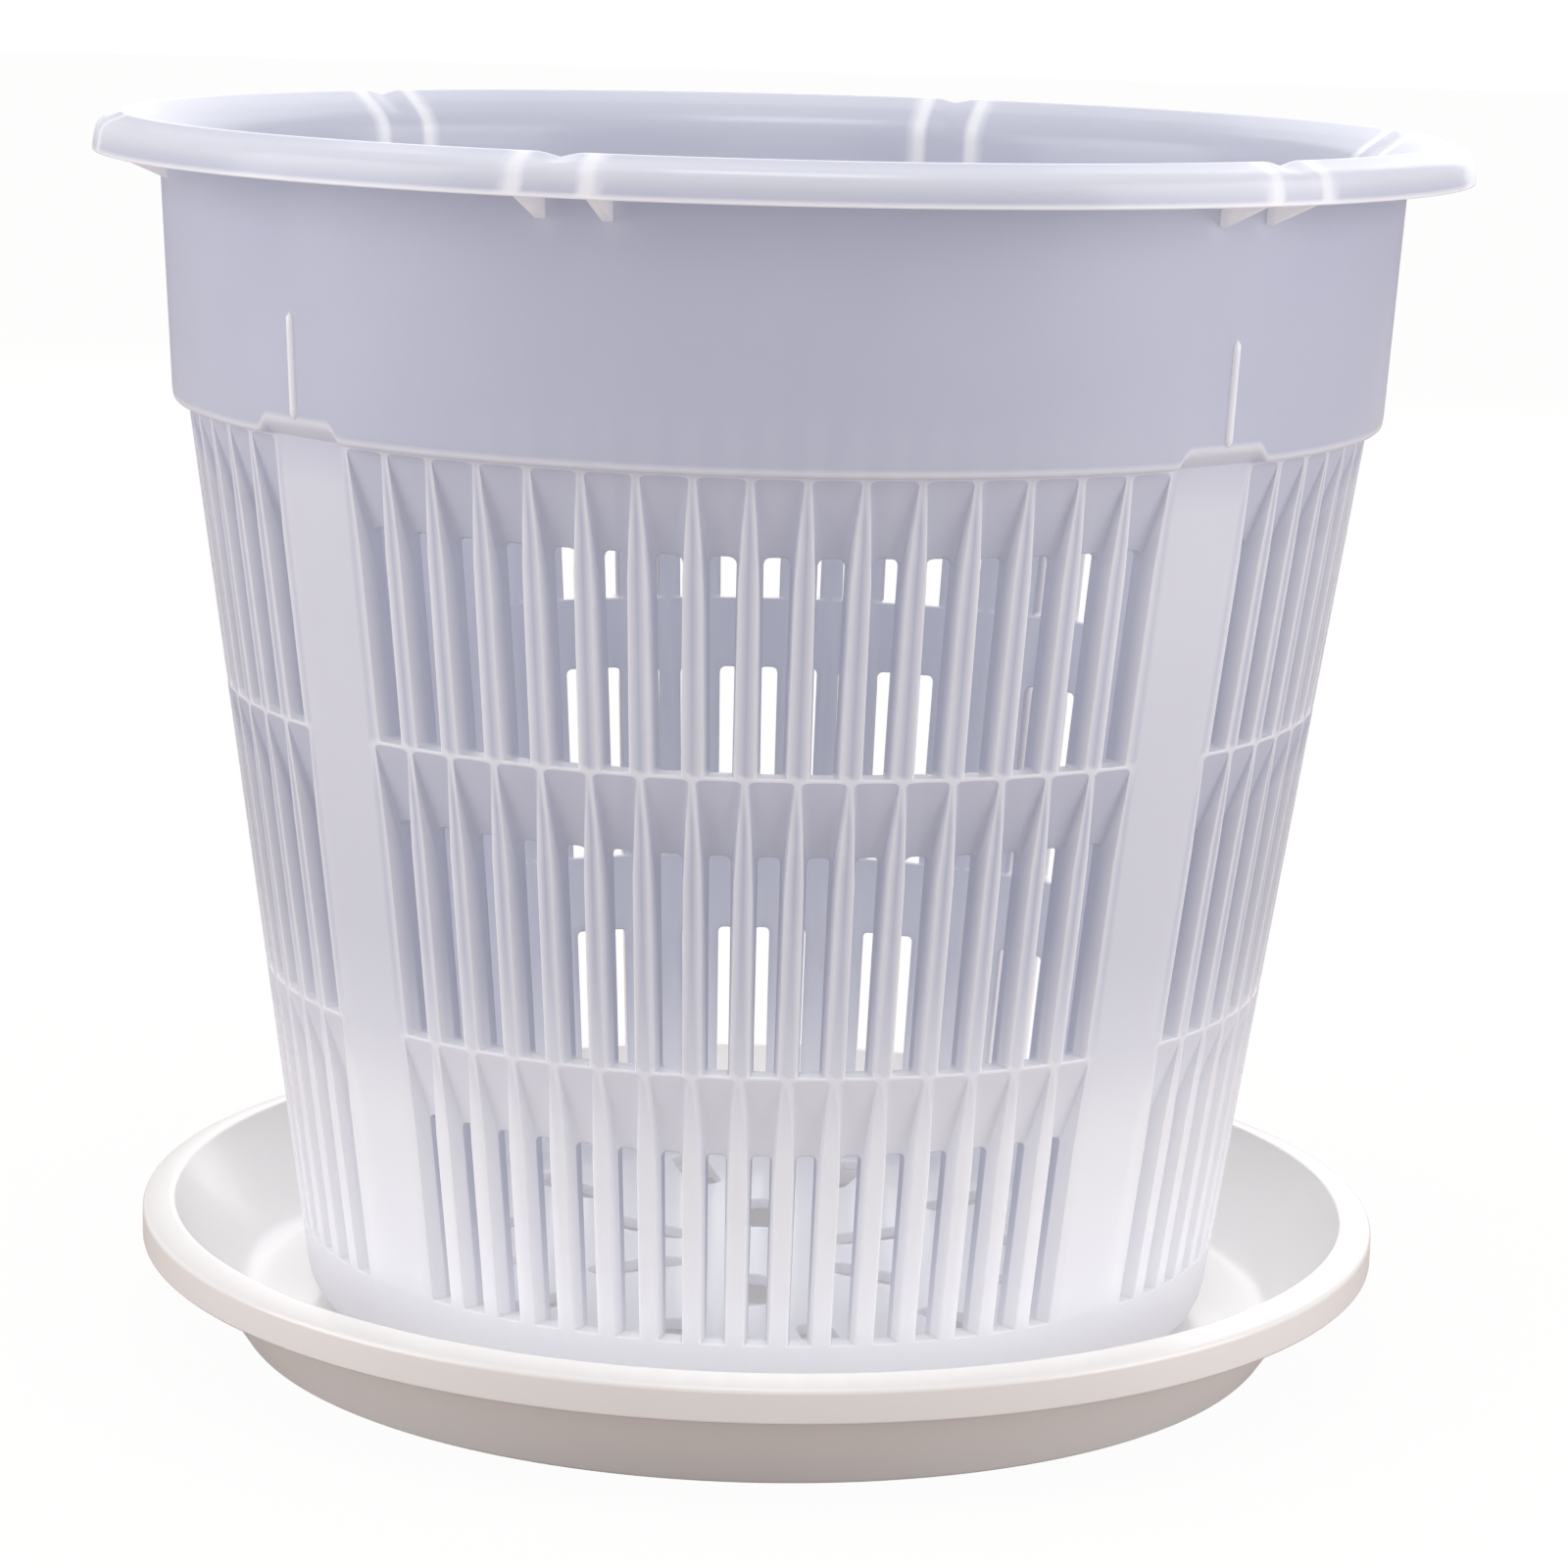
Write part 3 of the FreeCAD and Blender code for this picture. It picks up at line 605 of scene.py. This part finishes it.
def stave_angles():
    """The middle of each stave."""
    return [STAVE_START + GROUP_TURN * k for k in range(GROUPS)]


def notch_angles():
    """The middle of each dip in the rim's crest."""
    return [STAVE_START + 2 * math.pi / NOTCHES * k for k in range(NOTCHES)]


def gusset_angles():
    """Each web under the rim: one on each side of a dip."""
    return [centre + side * GUSSET_OFFSET for centre in notch_angles() for side in (-1, 1)]


def full_turn(columns):
    """Evenly spaced angles round the axis."""
    return np.arange(columns) * (2 * math.pi / columns)


def add_collar(shell, form):
    """The shoulder, collar and rolled rim, as one profile carried round the axis.

    The collar's lower edge steps up over each stave, and the crest dips between each pair of webs.
    """
    sizes = form.sizes
    angles = full_turn(COLUMNS)
    seam = form.shoulder - sizes.land / 2
    head = near(angles, stave_angles(), HEAD_HALF_WIDTH, HEAD_BLEND) * sizes.stave_head_rise
    notch_half = sizes.notch_width / 2 / form.crest_ring
    dip = near(angles, notch_angles(), DIP_FLAT_SHARE * notch_half, DIP_BLEND_SHARE * notch_half)
    crest = form.crest - dip * sizes.notch_depth
    under_crest = form.crest - sizes.rim_wall - dip * sizes.notch_depth * UNDER_DIP_SHARE
    inner_shoulder = form.shoulder + sizes.collar_wall
    slope = sizes.mouth_drop / (form.crest_ring - form.collar_top + sizes.collar_wall)
    collar_head = form.mouth_bottom - sizes.rim_wall + slope * sizes.collar_wall
    collar_inside = form.collar_top - COLLAR_INSIDE_SHARE * sizes.collar_wall
    foot = form.shoulder + head
    corners = [
        # distance from the axis, height, reach and steps of the round, painted light, on a web's bar
        (form.outer(seam), seam, 0, 0, 0, 0),
        (form.cone_top, form.shoulder, 0.3 * MM, 2, 0.5, 0),
        (form.collar_bottom, foot, 0.9 * MM, 3, 0.8, 0),
        (form.collar_bottom + COLLAR_BAND_LEAN, foot + COLLAR_BAND_HEIGHT, 0.1 * MM, 1, 0, 0),
        (form.collar_top, collar_head, 0.8 * MM, 1, 0, 0),
        (form.crest_ring, under_crest, 0.8 * MM, 1, 0, 0),
        (form.skirt_top - sizes.rim_wall, form.roll_top - sizes.rim_wall, 0.8 * MM, 2, 0, 0),
        (form.rim_edge - sizes.rim_wall, form.skirt_bottom, 0.2 * MM, 2, 0.6, 1),
        (form.rim_edge, form.skirt_bottom, 0.22 * MM, 3, 1.0, 1),
        (form.rim_edge - SKIRT_BAND_LEAN, form.skirt_bottom + SKIRT_BAND_HEIGHT, 0.1 * MM, 1, 0.05, 1),
        (form.skirt_top, form.roll_top, 1.6 * MM, 5, 0.5, 1),
        (form.crest_ring + CREST_LINE, crest - CREST_FALL_SHARE * CREST_LINE, 0.05 * MM, 1, 0.15, 1),
        (form.crest_ring, crest, 0.3 * MM, 3, 0.7, 1),
        (form.crest_ring - CREST_LINE, crest - slope * CREST_LINE, 0.05 * MM, 1, 0.25, 1),
        (form.collar_top - sizes.collar_wall, form.mouth_bottom, 2.0 * MM, 3, 0.1, 1),
        (collar_inside, form.mouth_bottom - BAR_END, 0.1 * MM, 1, 0, 1),
        (collar_inside - BAR_FADE_LEAN, form.mouth_bottom - BAR_FADE_END, 0.1 * MM, 1, 0, 0),
        (form.collar_bottom - sizes.collar_wall, inner_shoulder, 0.5 * MM, 1, 0.2, 0),
        (form.inner(inner_shoulder), inner_shoulder, 0.4 * MM, 1, 0.2, 0),
        (form.inner(seam), seam, 0, 0, 0, 0),
    ]
    rows, (marks, barred) = profile_rows(corners, angles)
    # The webs under the rim show through it as bars of painted light and painted glow, and the skirt's
    # line gets painted glow.
    on_bars = BAR_WHITENESS * barred * near(angles, gusset_angles(), BAR_HALF_WIDTH, BAR_BLEND)
    shell.add_grid(rows, wrap=True, marks=np.maximum(marks, on_bars),
                   glow=np.maximum(SKIRT_LINE_GLOW * (marks > WHITE_LINE), BAR_GLOW * on_bars))


def add_base(shell, form):
    """The plain band, rounded base and foot outside, and the wall's foot inside, down to the floor.

    Gives back the radius at which both meet the floor.
    """
    sizes = form.sizes
    seam = form.ledges[0] - sizes.land / 2
    edge = form.outer(form.foot)
    foot_inside = edge - sizes.base_round - sizes.foot_width
    floor_edge = foot_inside - FLOOR_MARGIN
    underside = form.foot + sizes.floor_lift
    # distance from the axis, height, reach and steps of the round
    outside = [
        (form.outer(seam), seam, 0, 0),
        (edge, form.foot, sizes.base_round, 6),
        (foot_inside, form.foot, FOOT_EDGE_ROUND, 2),
        (foot_inside, underside, FOOT_EDGE_ROUND, 2),
        (floor_edge, underside, 0, 0),
    ]
    inside = [
        (form.inner(seam), seam, 0, 0),
        (form.inner(form.floor_top), form.floor_top, FLOOR_FILLET, 3),
        (floor_edge, form.floor_top, 0, 0),
    ]
    # Painted glow on the base outside and, less, inside.
    for corners, glow in ((outside, BASE_GLOW), (inside, BASE_INSIDE_GLOW)):
        rows, _ = profile_rows(corners, full_turn(COLUMNS))
        shell.add_grid(rows, wrap=True, glow=glow)
    return floor_edge


def drain_cell(outer_arc, inner_arc, span, start, end, heights):
    """One sector of the floor with a round-ended radial slot, from its top face to its underside.

    outer_arc and inner_arc are (radius, steps), the slot runs from start to end, measured from the
    axis, and heights are those of the two faces. The slot is two half circles and two straight
    sides, and it has as many points as the sector's edge, so that rows join them one to one.
    """
    half = DRAIN_WIDTH / 2
    (outer_radius, outer_steps), (inner_radius, inner_steps) = outer_arc, inner_arc

    def arc(centre, radius, first, last, steps):
        turns = np.linspace(first, last, steps + 1)
        return [(radius * math.sin(a), centre + radius * math.cos(a)) for a in turns]

    inward = np.linspace(outer_radius, inner_radius, DRAIN_SIDE_STEPS + 1)[1:-1]
    edge = arc(0.0, outer_radius, -span / 2, span / 2, outer_steps)
    edge += [(r * math.sin(span / 2), r * math.cos(span / 2)) for r in inward]
    edge += arc(0.0, inner_radius, span / 2, -span / 2, inner_steps)
    edge += [(-r * math.sin(span / 2), r * math.cos(span / 2)) for r in inward[::-1]]
    down = np.linspace(end - half, start + half, DRAIN_SIDE_STEPS + 1)[1:-1]
    hole = arc(end - half, half, -math.pi / 2, math.pi / 2, outer_steps)
    hole += [(half, r) for r in down]
    hole += arc(start + half, half, math.pi / 2, 1.5 * math.pi, inner_steps)
    hole += [(-half, r) for r in down[::-1]]
    top, bottom = heights
    keys = [[(side, -out, height) for side, out in loop]
            for loop, height in ((edge, top), (hole, top), (hole, bottom), (edge, bottom))]
    return rounded_rows(np.array(keys), [DRAIN_EDGE_ROUND] * 2, [2, 2])


def add_drained_floor(shell, form, floor_edge):
    """The pot's floor: two rings of radial drain slots round a plain disc."""
    heights = (form.floor_top, form.foot + form.sizes.floor_lift)
    outer_span = 2 * math.pi / OUTER_DRAINS
    inner_span = 2 * math.pi / INNER_DRAINS
    outer = drain_cell((floor_edge, COLUMNS // OUTER_DRAINS),
                       (FLOOR_MIDDLE_RADIUS, FLOOR_MIDDLE_COLUMNS // OUTER_DRAINS),
                       outer_span, OUTER_DRAIN_START, OUTER_DRAIN_END, heights)
    inner = drain_cell((FLOOR_MIDDLE_RADIUS, FLOOR_MIDDLE_COLUMNS // INNER_DRAINS),
                       (FLOOR_CENTRE_RADIUS, FLOOR_CENTRE_COLUMNS // INNER_DRAINS),
                       inner_span, INNER_DRAIN_START, INNER_DRAIN_END, heights)
    # The floor gets painted glow.
    for k in range(OUTER_DRAINS):
        shell.add_grid(turned(outer, (k + 0.5) * outer_span), wrap=True, glow=FLOOR_GLOW)
    for k in range(INNER_DRAINS):
        shell.add_grid(turned(inner, k * inner_span), wrap=True, glow=FLOOR_GLOW)
    angles = inner_span / 2 + full_turn(FLOOR_CENTRE_COLUMNS)
    for height in heights:
        rings = [place(FLOOR_CENTRE_RADIUS * share, angles, height) for share in (1.0, 0.5, 0.0)]
        shell.add_grid(np.array(rings), wrap=True, glow=FLOOR_GLOW)


def add_plate(shell, outline, angle):
    """A thin upright web on a radial plane, from its outline as (radius, height) points.

    Each row is the outline drawn in towards its middle by a share, at an offset from the plane: the
    middle of one face, its rounded edge, the outline itself, and the same back to the other face.
    """
    outline = np.array(outline)
    inward = outline.mean(axis=0) - outline
    rounding = GUSSET_EDGE_ROUND / np.linalg.norm(inward, axis=-1, keepdims=True)
    half = GUSSET_THICKNESS / 2
    face = [(GUSSET_MIDDLE_SHARE, half), (rounding, half), (0.0, half - GUSSET_EDGE_ROUND)]
    sine, cosine = math.sin(angle), math.cos(angle)
    grid = []
    for share, offset in [(share, -offset) for share, offset in face] + face[::-1]:
        shape = outline + inward * share
        x = shape[:, 0] * sine + offset * cosine
        y = -shape[:, 0] * cosine + offset * sine
        grid.append(np.stack([x, y, shape[:, 1]], axis=-1))
    # The webs get full painted light and painted glow.
    shell.add_grid(np.array(grid), wrap=True, marks=1.0, glow=1.0)


def build_pot(sizes):
    """The whole moulding but its small webs and beads."""
    form = PotForm(sizes)
    shell = Shell()
    add_slotted_wall(shell, form)
    add_collar(shell, form)
    floor_edge = add_base(shell, form)
    add_drained_floor(shell, form, floor_edge)
    return shell.make_object("pot_moulding")


def build_gussets(sizes):
    """Pairs of thin webs under the rim, one pair at each dip in the crest.

    Their outline fills the hollow between collar, crest and skirt and bites into the wall round it.
    """
    form = PotForm(sizes)
    shell = Shell()
    bite = GUSSET_BITE_SHARE * sizes.rim_wall
    collar_face = form.collar_top - sizes.collar_wall / 2
    outline = [
        (collar_face, form.skirt_bottom - GUSSET_DROP),
        (form.collar_top, form.skirt_bottom - GUSSET_DROP),
        (form.rim_edge - sizes.rim_wall, form.skirt_bottom + GUSSET_SKIRT_GAP),
        (form.skirt_top - bite, form.roll_top - sizes.rim_wall),
        (form.crest_ring, form.crest - GUSSET_CREST_SHARE * bite - GUSSET_CREST_GAP),
        (collar_face, form.mouth_bottom - bite),
    ]
    for angle in gusset_angles():
        add_plate(shell, outline, angle)
    return shell.make_object("rim_gussets", weld=GUSSET_WELD)


def build_beads(sizes):
    """A thin upright bead on the collar over each stave, half sunk in it.

    Its section is an oval, cosine out and sine sideways, scaled by the distance to the nearer end
    over BEAD_END, and at most 1.
    """
    form = PotForm(sizes)
    shell = Shell()
    slope = sizes.collar_flare / (form.skirt_bottom - form.shoulder)
    turn = full_turn(BEAD_COLUMNS)
    reach = np.where(np.cos(turn) > 0, BEAD_RELIEF, BEAD_SUNK_SHARE * sizes.collar_wall)
    out = reach * np.cos(turn)
    side = 0.5 * BEAD_WIDTH * np.sin(turn)
    for centre in stave_angles():
        rows = []
        for t in np.linspace(0.0, 1.0, BEAD_ROWS):
            scale = np.clip(min(t, 1 - t) * BEAD_HEIGHT / BEAD_END, BEAD_TIP_SHARE, 1.0)
            height = form.shoulder + BEAD_LIFT + t * BEAD_HEIGHT
            face = form.collar_bottom + (height - form.shoulder) * slope
            rows.append(place(face + out * scale, centre + side * scale / face, height))
        low, high = [np.broadcast_to(row.mean(axis=0), row.shape) for row in (rows[0], rows[-1])]
        # The beads get full painted light and painted glow.
        shell.add_grid(np.array([low] + rows + [high]), wrap=True, marks=1.0, glow=BEAD_GLOW)
    return shell.make_object("stave_beads", weld=BEAD_WELD)


def build_saucer(sizes):
    """The saucer: one profile carried round the axis.

    span is the wall's width where a level line crosses it: wall sqrt(1 + slope^2).
    """
    radius = SAUCER_BOX[1].x
    height = SAUCER_BOX[1].z
    floor = sizes.foot_height + sizes.wall
    seat = floor + sizes.seat_rise
    mouth = radius - sizes.lip_width
    floor_edge = mouth - sizes.wall_run
    slope = sizes.wall_run / (height - floor)
    span = sizes.wall * math.sqrt(1 + slope ** 2)
    foot_edge = floor_edge - floor * slope + span
    foot_inside = foot_edge - sizes.foot_width
    lip_top = height - sizes.lip_fall
    lip_bottom = lip_top - sizes.lip_height
    lip_under = lip_top - sizes.lip_wall
    lip_inside = radius - sizes.lip_wall
    corners = [
        # distance from the axis, height, reach and steps of the round, painted glow
        (0.0, sizes.foot_height, 0, 0, 0),
        (foot_inside, sizes.foot_height, 0.4 * MM, 2, 0),
        (foot_inside, 0.0, 0.3 * MM, 2, 0),
        (foot_edge, 0.0, 0.5 * MM, 3, 0.2),
        (floor_edge + (lip_under - floor) * slope + span, lip_under, 0.5 * MM, 2, 0.2),
        (lip_inside, lip_under, 0.4 * MM, 2, 0),
        (lip_inside, lip_bottom, 0.3 * MM, 3, 0),
        (radius, lip_bottom, 0.35 * MM, 3, 0),
        (radius, lip_top, 0.6 * MM, 4, 0),
        (mouth, height, 0.5 * MM, 4, 0.3),
        (floor_edge, floor, 2.4 * MM, 6, 0.8),
        (sizes.seat_radius, floor, 0.4 * MM, 2, 0.5),
        (sizes.seat_radius, seat, 0.4 * MM, 3, SEAT_GLOW),
        (0.0, seat, 0, 0, SEAT_GLOW),
    ]
    # Painted glow lights the saucer's floor and seat in the pot's shade, and a little of its mouth and
    # walls.
    rows, (lit,) = profile_rows(corners, full_turn(SAUCER_COLUMNS))
    lit[-1] = SEAT_GLOW
    shell = Shell()
    shell.add_grid(rows, wrap=True, glow=lit)
    return shell.make_object("saucer_moulding")


class Socket:
    """A node output that takes part in ordinary sums."""

    def __init__(self, graph, output):
        self.graph = graph
        self.output = output

    def __add__(self, other):
        return self.graph.math("ADD", self, other)

    def __sub__(self, other):
        return self.graph.math("SUBTRACT", self, other)

    def __rsub__(self, other):
        return self.graph.math("SUBTRACT", other, self)

    def __mul__(self, other):
        return self.graph.math("MULTIPLY", self, other)

    __radd__ = __add__
    __rmul__ = __mul__

    def clamp(self):
        """The value kept between 0 and 1."""
        return self.graph.math("ADD", self, 0.0, clamp=True)


class Graph:
    """A material's node tree with helpers for its nodes."""

    def __init__(self, name):
        self.material = bpy.data.materials.new(name)
        self.material.use_nodes = True
        self.tree = self.material.node_tree
        self.tree.nodes.clear()

    def node(self, kind, inputs=None, output=0, **settings):
        """Add a node, set its fields and inputs, and give back one output."""
        made = self.tree.nodes.new(kind)
        for key, value in settings.items():
            setattr(made, key, value)
        for key, value in (inputs or {}).items():
            self.feed(made.inputs[key], value)
        return Socket(self, made.outputs[output])

    def feed(self, socket, value):
        """Link another node's output to an input, or set the input's value."""
        if isinstance(value, Socket):
            self.tree.links.new(value.output, socket)
        else:
            socket.default_value = value

    def math(self, operation, first, second, clamp=False):
        """One sum on two values."""
        return self.node("ShaderNodeMath", {0: first, 1: second}, operation=operation,
                         use_clamp=clamp)

    def noise(self, coords, scale, detail):
        """Soft noise from 0 to 1."""
        return self.node("ShaderNodeTexNoise", {"Vector": coords, "Scale": scale, "Detail": detail},
                         output="Fac")

    def mix_shader(self, factor, first, second):
        """One shader over another by a share."""
        return self.node("ShaderNodeMixShader", {0: factor, 1: first, 2: second}, output="Shader")

    def mix_colour(self, factor, first, second):
        """A colour between two colours."""
        made = self.tree.nodes.new("ShaderNodeMix")
        made.data_type = "RGBA"
        self.feed(made.inputs[0], factor)
        self.feed(made.inputs[6], first)
        self.feed(made.inputs[7], second)
        return Socket(self, made.outputs[2])

    def finish(self, shader):
        """Join the shader to the output and give back the material."""
        output = self.tree.nodes.new("ShaderNodeOutputMaterial")
        self.tree.links.new(shader.output, output.inputs["Surface"])
        return self.material


def plastic(name, body, pale, white, through, clear, gloss, glow):
    """Milky polypropylene: a coloured body, light that comes through it, and a soft shine.

    body turns to pale in slow clouds and to white where light is painted; through is the share of
    light that passes scattered, clear the share that passes straight, and glow the strength of the
    painted glow.
    """
    graph = Graph(name)
    coords = graph.node("ShaderNodeTexCoord", output="Object")
    cloud = graph.noise(coords, CLOUD_SCALE, 3.0)
    speck = graph.noise(coords, SPECK_SCALE, 2.0)
    # Painted light and painted glow come from the mesh attributes; both whiten the tint, and the
    # painted glow also shines as emission.
    edge = graph.node("ShaderNodeAttribute", output="Fac", attribute_name=PAINTED_LIGHT_ATTRIBUTE)
    carried = graph.node("ShaderNodeAttribute", output="Fac", attribute_name=GLOW_ATTRIBUTE)
    tint = graph.mix_colour(((cloud - CLOUD_START) * CLOUD_GAIN).clamp(), body, pale)
    whitened = graph.math("MAXIMUM", edge * PAINTED_LIGHT_SHARE, carried * PAINTED_GLOW_SHARE)
    tint = graph.mix_colour(whitened, tint, white)
    glowing = graph.mix_colour(carried, NO_LIGHT, PAINTED_GLOW_COLOUR)
    relief = graph.node("ShaderNodeBump", {
        "Strength": SPECK_STRENGTH, "Distance": SPECK_DEPTH, "Height": speck}, output="Normal")
    skin = graph.node("ShaderNodeBsdfPrincipled", {
        "Base Color": tint, "Roughness": ROUGHNESS + cloud * CLOUD_ROUGHNESS, "IOR": REFRACTION,
        "Normal": relief, "Coat Weight": gloss, "Coat Roughness": COAT_ROUGHNESS,
        "Emission Color": glowing, "Emission Strength": glow}, output="BSDF")
    scattered = graph.node("ShaderNodeBsdfTranslucent", {"Color": tint}, output="BSDF")
    lit = graph.mix_shader(through, skin, scattered)
    straight = graph.node("ShaderNodeBsdfTransparent", output="BSDF")
    return graph.finish(graph.mix_shader(clear, lit, straight))


def pot_plastic(colours):
    """The pot's milky, half clear plastic."""
    return plastic("pot_plastic", colours.pot_body, colours.pot_pale, colours.painted_light,
                   through=0.42, clear=0.14, gloss=0.3, glow=0.22)


def saucer_plastic(colours):
    """The saucer's white plastic, which lets little light through."""
    return plastic("saucer_plastic", colours.saucer_body, colours.saucer_pale, colours.painted_light,
                   through=0.1, clear=0.0, gloss=0.15, glow=0.2)


def give(piece, material):
    """Put one material on all of a piece's slots."""
    piece.data.materials.clear()
    piece.data.materials.append(material)


class OBJECT_OT_orchid_pot(bpy.types.Operator):
    """Build the slotted pot in place of its CAD node"""
    bl_idname = "object.orchid_pot"
    bl_label = "Slotted Pot"
    bl_options = {"REGISTER", "UNDO"}

    def execute(self, context):
        sizes = context.scene.orchid_pot
        material = pot_plastic(context.scene.orchid_colours)
        pieces = [build_pot(sizes), build_gussets(sizes), build_beads(sizes)]
        for piece in pieces:
            give(piece, material)
            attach(piece, "pot")
        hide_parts("slotted_pot")
        return {"FINISHED"}


class OBJECT_OT_orchid_saucer(bpy.types.Operator):
    """Build the saucer in place of its CAD node"""
    bl_idname = "object.orchid_saucer"
    bl_label = "Saucer"
    bl_options = {"REGISTER", "UNDO"}

    def execute(self, context):
        piece = build_saucer(context.scene.orchid_saucer)
        give(piece, saucer_plastic(context.scene.orchid_colours))
        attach(piece, "saucer")
        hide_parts("saucer")
        return {"FINISHED"}


def add_area_light(name, location, target, size, energy):
    """A square soft white light that faces its target."""
    data = bpy.data.lights.new(name, "AREA")
    data.shape = "SQUARE"
    data.size = size
    data.energy = energy
    light = bpy.data.objects.new(name, data)
    light.location = location
    light.rotation_euler = (Vector(target) - Vector(location)).to_track_quat("-Z", "Y").to_euler()
    bpy.context.collection.objects.link(light)


class OBJECT_OT_orchid_studio(bpy.types.Operator):
    """Set up the camera, the pale floor and the soft lights"""
    bl_idname = "object.orchid_studio"
    bl_label = "Studio"
    bl_options = {"REGISTER", "UNDO"}

    def execute(self, context):
        settings = context.scene.orchid_studio
        self.add_camera(context, settings)
        self.add_floor()
        self.add_world(context)
        for light in LIGHTS:
            add_area_light(*light)
        return {"FINISHED"}

    def add_camera(self, context, settings):
        """The camera, turned round the pot, pitched down and rolled as the settings say."""
        data = bpy.data.cameras.new("camera")
        data.lens = settings.camera_lens
        data.sensor_width = SENSOR_WIDTH
        data.shift_x = settings.camera_shift
        camera = bpy.data.objects.new("camera", data)
        turn = settings.camera_turn
        camera.location = (settings.camera_distance * math.sin(turn),
                           -settings.camera_distance * math.cos(turn), settings.camera_height)
        look = (Matrix.Rotation(turn, 3, "Z")
                @ Matrix.Rotation(math.pi / 2 - settings.camera_pitch, 3, "X")
                @ Matrix.Rotation(settings.camera_roll, 3, "Z"))
        camera.rotation_euler = look.to_euler()
        context.collection.objects.link(camera)
        context.scene.camera = camera

    def add_floor(self):
        """A pale floor that the camera sees as white, with a little of the real shadow."""
        graph = Graph("pale_floor")
        ray = graph.node("ShaderNodeLightPath", output="Is Camera Ray")
        skin = graph.node("ShaderNodeBsdfDiffuse", {"Color": FLOOR_COLOUR}, output="BSDF")
        white = graph.node("ShaderNodeEmission", {"Color": FLOOR_SEEN}, output="Emission")
        mixed = graph.mix_shader(ray * FLOOR_SEEN_SHARE, skin, white)
        mesh = bpy.data.meshes.new("floor")
        signs = ((-1, -1), (1, -1), (1, 1), (-1, 1))
        corners = [(x * FLOOR_HALF, y * FLOOR_HALF, 0) for x, y in signs]
        mesh.from_pydata(corners, [], [(0, 1, 2, 3)])
        floor = bpy.data.objects.new("floor", mesh)
        bpy.context.collection.objects.link(floor)
        give(floor, graph.finish(mixed))

    def add_world(self, context):
        """White light from all round, a little brighter where the camera looks straight at it."""
        world = bpy.data.worlds.new("studio")
        world.use_nodes = True
        tree = world.node_tree
        back = tree.nodes["Background"]
        ray = tree.nodes.new("ShaderNodeLightPath")
        strength = tree.nodes.new("ShaderNodeMapRange")
        strength.inputs["To Min"].default_value = WORLD_STRENGTH
        strength.inputs["To Max"].default_value = WORLD_SEEN_STRENGTH
        tree.links.new(ray.outputs["Is Camera Ray"], strength.inputs["Value"])
        tree.links.new(strength.outputs["Result"], back.inputs["Strength"])
        back.inputs["Color"].default_value = (1, 1, 1, 1)
        context.scene.world = world
        context.scene.view_settings.view_transform = "Standard"


class VIEW3D_PT_orchid_pot(bpy.types.Panel):
    """Sizes and builders of the orchid pot"""
    bl_label = "Orchid Pot"
    bl_space_type = "VIEW_3D"
    bl_region_type = "UI"
    bl_category = "Orchid Pot"

    def draw(self, context):
        for operator in OPERATORS:
            self.layout.operator(operator.bl_idname)
        for pointer in POINTERS:
            group = getattr(context.scene, pointer)
            column = self.layout.column()
            for name in group.bl_rna.properties.keys():
                if name not in ("rna_type", "name"):
                    column.prop(group, name)


OPERATORS = (OBJECT_OT_orchid_pot, OBJECT_OT_orchid_saucer, OBJECT_OT_orchid_studio)
POINTERS = {
    "orchid_pot": OrchidPotSizes,
    "orchid_saucer": OrchidSaucerSizes,
    "orchid_colours": OrchidColours,
    "orchid_studio": OrchidStudioSettings,
}
CLASSES = (*POINTERS.values(), *OPERATORS, VIEW3D_PT_orchid_pot)


def register():
    """Register the classes and hang the settings on the scene."""
    for cls in CLASSES:
        bpy.utils.register_class(cls)
    for pointer, group in POINTERS.items():
        setattr(bpy.types.Scene, pointer, bpy.props.PointerProperty(type=group))


def unregister():
    """Undo what register did, in the opposite order."""
    for pointer in reversed(POINTERS):
        delattr(bpy.types.Scene, pointer)
    for cls in reversed(CLASSES):
        bpy.utils.unregister_class(cls)


def main():
    """Build every piece and the studio."""
    register()
    for operator in OPERATORS:
        module, name = operator.bl_idname.split(".")
        if getattr(getattr(bpy.ops, module), name)() != {"FINISHED"}:
            raise RuntimeError(operator.bl_idname + " did not finish")


if __name__ == "__main__":
    main()
